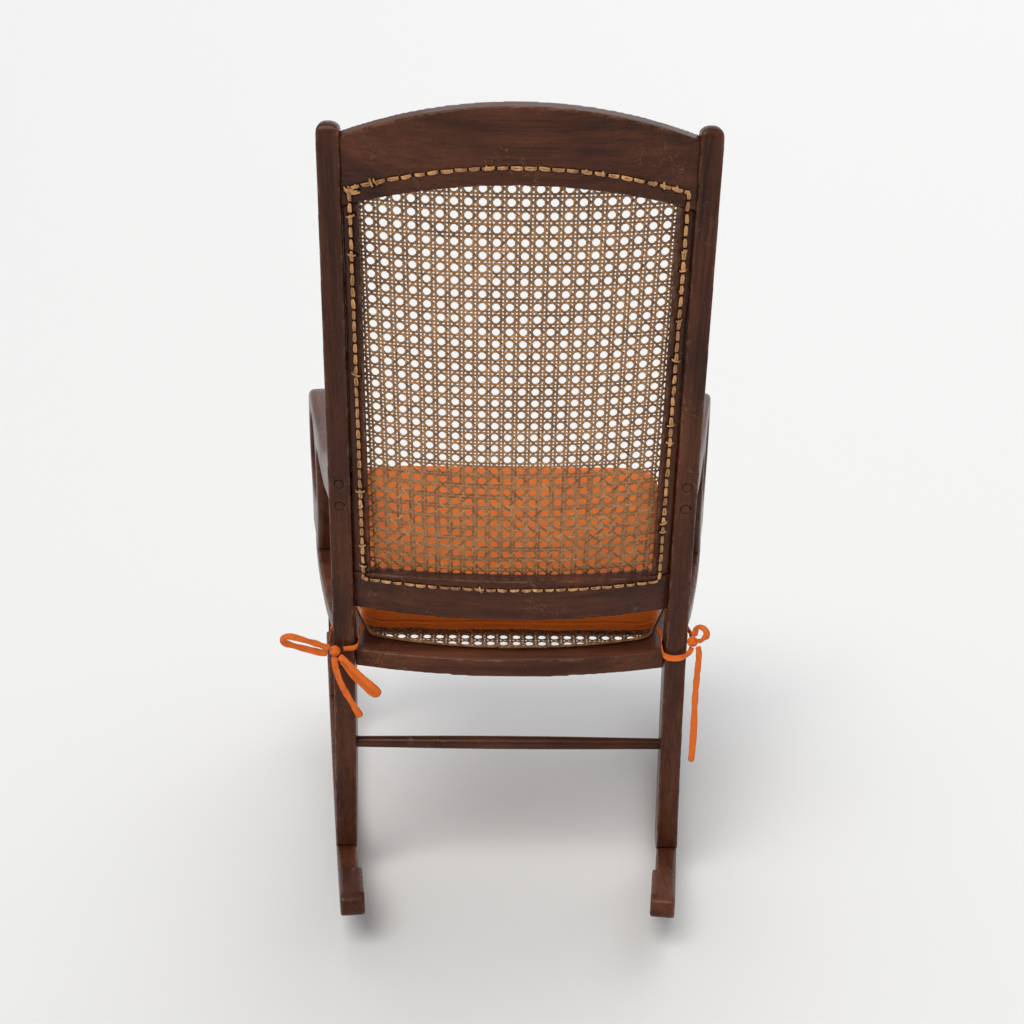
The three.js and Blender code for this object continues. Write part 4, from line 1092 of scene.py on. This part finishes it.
class ChairBackCane(bpy.types.Operator):
    """Weaves the back's six-way cane and sews its loops round the opening"""

    bl_idname = "chair.back_cane"
    bl_label = "Back cane"

    def execute(self, context):
        panel = BackPanel()
        xs = [p.x for p in panel.outline]
        vs = [p.y for p in panel.outline]
        pitch_x = (max(xs) - min(xs) - 2 * OPENING_INSET) / sizes().back_columns
        pitch_v = (max(vs) - min(vs) - 2 * OPENING_INSET) / sizes().back_rows
        weave = six_way_weave(panel.outline, pitch_x, pitch_v, sizes().pair_spread)
        lay_weave("back", panel, weave, sizes().strand_width, BACK_WEAVE_TURNS)
        surface = max(panel.flattened(p).z for p in corners("lower_back_rail"))
        line = self.hole_line(panel.outline, min(vs), max(vs))
        loops = stitches_along(line, pitch_x * 0.95, STITCH_HEIGHT, STITCH_SEED)
        top_corner = max(line, key=lambda p: p.x + p.y)
        loops += self.tangle(top_corner - Vector((2, 2)) * MM)
        mesh = strips(loops, STITCH_WIDTH, STITCH_THICKNESS)
        mesh = bent(mesh, lambda x, v, w: panel.place(x, v, w + surface))
        add_piece("back_stitches", mesh, cane("stitches", (0, 0, 0), 1.45))
        # dark discs of painted shade stand for the lacing holes, which are not cut
        self.paint_hole_shade(loops, panel, surface)
        return {"FINISHED"}

    def hole_line(self, outline, low, high):
        """The line of the lacing holes: the cane's edge, drawn in at the stiles and raised to the crest."""
        side_inset, foot_rise, crest_rise, beside = 2 * MM, 4.5 * MM, 6 * MM, 100 * MM
        line = []
        for corner in outline:
            drawn_in = math.copysign(side_inset, corner.x) if abs(corner.x) > beside else 0.0
            up_share = (corner.y - low) / (high - low)
            line.append(Vector((corner.x - drawn_in, corner.y + foot_rise + crest_rise * up_share)))
        return line

    def paint_hole_shade(self, loops, panel, surface):
        """Lays a dark disc of painted shade where the strands dive into the holes in the wood, mottled black
        and brown.
        """
        bm = bmesh.new()
        for loop in loops:
            middle = Vector((loop[0][0], loop[0][1], 0))
            bmesh.ops.create_circle(bm, segments=10, radius=RIM_RADIUS, cap_ends=True,
                                    matrix=Matrix.Translation(middle))
        bmesh.ops.solidify(bm, geom=bm.faces, thickness=RIM_THICKNESS)
        mesh = bent(to_mesh(bm), lambda x, v, w: panel.place(x, v, w + surface))
        material, tree, shader, place = new_material("hole_rims")
        # painted shade: the dark inside of each hole, mottled between near black and dark brown
        shade_mottle = noise_texture(tree, place, 500.0, 3, 0.6)
        black, brown = (0.004, 0.002, 0.0015, 1), (0.022, 0.009, 0.005, 1)
        tree.links.new(blend_colors(tree, shade_mottle, black, brown), shader.inputs["Base Color"])
        set_sockets(shader, Roughness=0.9, Specular_IOR_Level=0.1)
        add_piece("hole_rims", mesh, material)

    def tangle(self, middle):
        """The ends of the sewing strand, wound over each other at one corner."""
        rng = random.Random(TANGLE_SEED)
        wraps = []
        for _ in range(9):
            turn = rng.uniform(0, math.pi)
            reach = Vector((math.cos(turn), math.sin(turn))) * rng.uniform(4, 8) * MM
            shift = Vector((rng.uniform(-3, 3), rng.uniform(-4, 2))) * MM
            rise = STITCH_HEIGHT * rng.uniform(1.2, 2.2)
            wraps.append([
                (*(middle + shift + reach * (share - 0.5) * 2), rise * math.sin(share * math.pi) ** 0.6)
                for share in (0.0, 0.15, 0.35, 0.5, 0.65, 0.85, 1.0)
            ])
        return wraps


class ChairSeatCane(bpy.types.Operator):
    """Weaves the seat's cane, with its binder strip"""

    bl_idname = "chair.seat_cane"
    bl_label = "Seat cane"

    def execute(self, context):
        panel = SeatPanel()
        pitch = sizes().seat_pitch
        weave = six_way_weave(panel.outline, pitch, pitch, sizes().pair_spread)
        lay_weave("seat", panel, weave, sizes().strand_width * 1.05, SEAT_WEAVE_TURNS)
        refinish("seat_binder", cane("binder", (QUARTER_TURN, 0, 0)))
        return {"FINISHED"}


# ---------------------------------------------------------------- cushion


FILLING_FRAMES = 20
FILLING_REACH = 9 * MM  # the furthest that the filling may push a point
COVER_GRID = 5.5 * MM
REST_GAP = 1.8 * MM  # from the cane to the cushion's underside
SEAM_DROP = 11 * MM  # from the middle of the cushion's height to its seam
SEAM_REACH = 18 * MM / 2.6  # how far up and down the side the seam's pull is felt
FRONT_HALF, REAR_HALF = 0.246, 0.208  # half of the cushion's width, beside the arms and at its rear corners
FRONT_Y, REAR_Y = -0.19, 0.11  # between these its sides draw in
POST_INNER = 0.199  # the posts leave the cushion this half width to bulge through
BULGE = 15 * MM


def cloth_filled(mesh):
    """The mesh swollen by cloth simulation, as a cover is by its filling."""
    holder = bpy.data.objects.new("cover", mesh)
    bpy.context.scene.collection.objects.link(holder)
    modifier = holder.modifiers.new("cloth", "CLOTH")
    modifier.settings.use_pressure = True
    modifier.settings.uniform_pressure_force = 4
    modifier.settings.effector_weights.gravity = 0
    scene = bpy.context.scene
    for number in range(1, FILLING_FRAMES + 1):
        scene.frame_set(number)
    made = mesh_from(holder)
    scene.frame_set(1)
    return made


def cushion_start():
    """The cushion's shape before it is filled: the CAD solid, a little smaller, as an even grid."""
    bm = mesh_of("cushion")
    low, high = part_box("cushion")
    middle = (low + high) / 2
    bmesh.ops.scale(bm, verts=bm.verts, vec=(0.985, 0.985, 0.92), space=Matrix.Translation(-middle))
    return applied(to_mesh(bm), [("REMESH", {"mode": "VOXEL", "voxel_size": COVER_GRID})])


class ChairCushion(bpy.types.Operator):
    """Fills the seat cushion and sews its piping"""

    bl_idname = "chair.cushion"
    bl_label = "Cushion"

    def execute(self, context):
        panel = SeatPanel()
        start = cushion_start()
        before = [v.co.copy() for v in start.vertices]
        filled = cloth_filled(start.copy())
        bm = bmesh.new()
        bm.from_mesh(filled)
        for vert, origin in zip(bm.verts, before):
            step = vert.co - origin
            if step.length > FILLING_REACH:
                step *= FILLING_REACH / step.length
            flat = panel.flattened(origin + step)
            flat.z = max(flat.z, panel.top + REST_GAP)
            vert.co = panel.place(*flat)
        low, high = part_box("cushion")
        middle = (low + high) / 2
        centre = panel.flattened(middle)
        seam = centre.z - SEAM_DROP
        for vert in bm.verts:
            vert.co = panel.place(*self.sewn(panel.flattened(vert.co), centre, (high - low) / 2, seam))
        bmesh.ops.smooth_vert(bm, verts=bm.verts, factor=0.4,
                              use_axis_x=True, use_axis_y=True, use_axis_z=True)
        mesh = applied(to_mesh(bm), [("SUBSURF", {"levels": 1, "render_levels": 1})])
        bpy.data.meshes.remove(start)
        cushion = add_piece("seat_cushion", mesh, cotton(), ["cushion"])
        self.sew_piping(mesh, panel, middle, seam)
        return {"FINISHED"}

    def sewn(self, flat, centre, reach, seam):
        """Where a point of the filled cushion lies once it is sewn, sat on and pressed between the posts."""
        outward = Vector((flat.x, flat.y - centre.y, 0))
        share_x, share_v = outward.x / reach.x, outward.y / reach.y
        outward.normalize()
        edge = ramp(max(abs(share_x), abs(share_v)), 0.72, 0.92)
        around = math.atan2(share_v, share_x)
        folds = Vector((math.cos(around), math.sin(around), 0))
        pleat = noise.noise(folds * 13 + Vector((0, 0, flat.z * 25)))
        gather = noise.noise(folds * 30 + Vector((0, 0, flat.z * 12)))
        # the seam holds the cover in, more or less by its gathers, and the sides most midway along
        near_seam = math.exp(-(((flat.z - seam) / SEAM_REACH) ** 2))
        held_in = near_seam * (3.5 + 1.5 * gather) * MM - (pleat * 2.6 + gather * 1.4) * MM
        if abs(share_x) > abs(share_v):
            held_in += (1 - min(1.0, share_v * share_v)) * 4 * MM
        # the underside spreads under a sitter's weight, most of all at the rear
        under = ramp(seam + 6 * MM - flat.z, 0, 17 * MM)
        spread = 11 * MM * under**1.5 * edge * (1.0 if share_v > 0 else 0.5)
        half_width = FRONT_HALF - (FRONT_HALF - REAR_HALF) * ramp(flat.y, FRONT_Y, REAR_Y)
        in_corner = ramp(abs(flat.x) / half_width, 0.72, 1.0) * ramp(share_v, 0.62, 1.0)
        flat += outward * spread + Vector((math.copysign(2 * MM, flat.x), 3 * MM, 0)) * in_corner
        between_posts = max(0.0, 1 - (flat.x / POST_INNER) ** 6)
        flat.y += BULGE * between_posts * ramp(share_v, 0.78, 1.0)
        flat -= outward * edge * held_in
        if flat.z > seam + 4 * MM:
            crown = max(0.0, 1 - share_x**4) * max(0.0, 1 - share_v**6)
            ripple = noise.noise(Vector((flat.x * 11, flat.y * 11, 3.0))) * 2 * MM
            flat.z += crown * (4 * MM + ripple)
        return flat

    def sew_piping(self, mesh, panel, middle, seam):
        """Lays a corded seam round the cushion where its side meets the seam's height."""
        tree = BVHTree.FromPolygons([v.co for v in mesh.vertices], [p.vertices for p in mesh.polygons])
        centre = panel.flattened(middle)
        line = []
        count = 220
        sunk = sizes().piping_radius * 0.35
        for i in range(count):
            around = 2 * math.pi * i / count
            wave = seam + 1.8 * MM * noise.noise(Vector((math.cos(around) * 7, math.sin(around) * 7, 0)))
            far = panel.place(centre.x + math.cos(around), centre.y + math.sin(around), wave)
            inner = panel.place(centre.x, centre.y, wave)
            hit = tree.ray_cast(far, (inner - far).normalized())[0]
            if hit is None:
                raise RuntimeError("the piping found no cushion to lie on")
            line.append(hit + (far - inner).normalized() * sunk)
        curve = bpy.data.curves.new("piping", "CURVE")
        curve.dimensions = "3D"
        curve.bevel_depth = sizes().piping_radius
        curve.bevel_resolution = 2
        spline = curve.splines.new("POLY")
        spline.points.add(len(line) - 1)
        for point, place in zip(spline.points, line):
            point.co = (*place, 1)
        spline.use_cyclic_u = True
        add_piece("cushion_piping", mesh_from(curve), cotton())


class ChairFixings(bpy.types.Operator):
    """Finishes the plugs, dowels and screws, whose shapes are already right"""

    bl_idname = "chair.fixings"
    bl_label = "Fixings"

    def execute(self, context):
        metal = steel()
        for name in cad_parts:
            if name.endswith("screw"):
                refinish(name, metal)
            elif name.endswith(("plug", "dowel")):
                refinish(name, walnut("upright", 0.0, 0.0, "_plugs"))
        return {"FINISHED"}


OPERATORS = [
    ChairCamera, ChairTies, ChairStage, ChairBackFrame, ChairSeatFrame, ChairArms, ChairUndercarriage,
    ChairBackCane, ChairSeatCane, ChairCushion, ChairFixings,
]


class ChairPanel(bpy.types.Panel):
    """Lists the chair's pieces in the sidebar"""

    bl_idname = "VIEW3D_PT_rocking_chair"
    bl_label = "Rocking chair"
    bl_space_type = "VIEW_3D"
    bl_region_type = "UI"
    bl_category = "Rocking chair"

    def draw(self, context):
        for operator in OPERATORS:
            self.layout.operator(operator.bl_idname)
        for group in (context.scene.chair_sizes, context.scene.chair_finishes):
            for name in group.bl_rna.properties.keys():
                if name not in ("rna_type", "name"):
                    self.layout.prop(group, name)


CLASSES = [ChairSizes, ChairFinishes, *OPERATORS, ChairPanel]


def register():
    for made in CLASSES:
        bpy.utils.register_class(made)
    bpy.types.Scene.chair_sizes = bpy.props.PointerProperty(type=ChairSizes)
    bpy.types.Scene.chair_finishes = bpy.props.PointerProperty(type=ChairFinishes)


def unregister():
    del bpy.types.Scene.chair_finishes
    del bpy.types.Scene.chair_sizes
    for made in reversed(CLASSES):
        bpy.utils.unregister_class(made)


def main():
    register()
    for operator in OPERATORS:
        family, name = operator.bl_idname.split(".")
        if getattr(getattr(bpy.ops, family), name)() != {"FINISHED"}:
            raise RuntimeError(f"{operator.bl_label} was not finished")


if __name__ == "__main__":
    main()
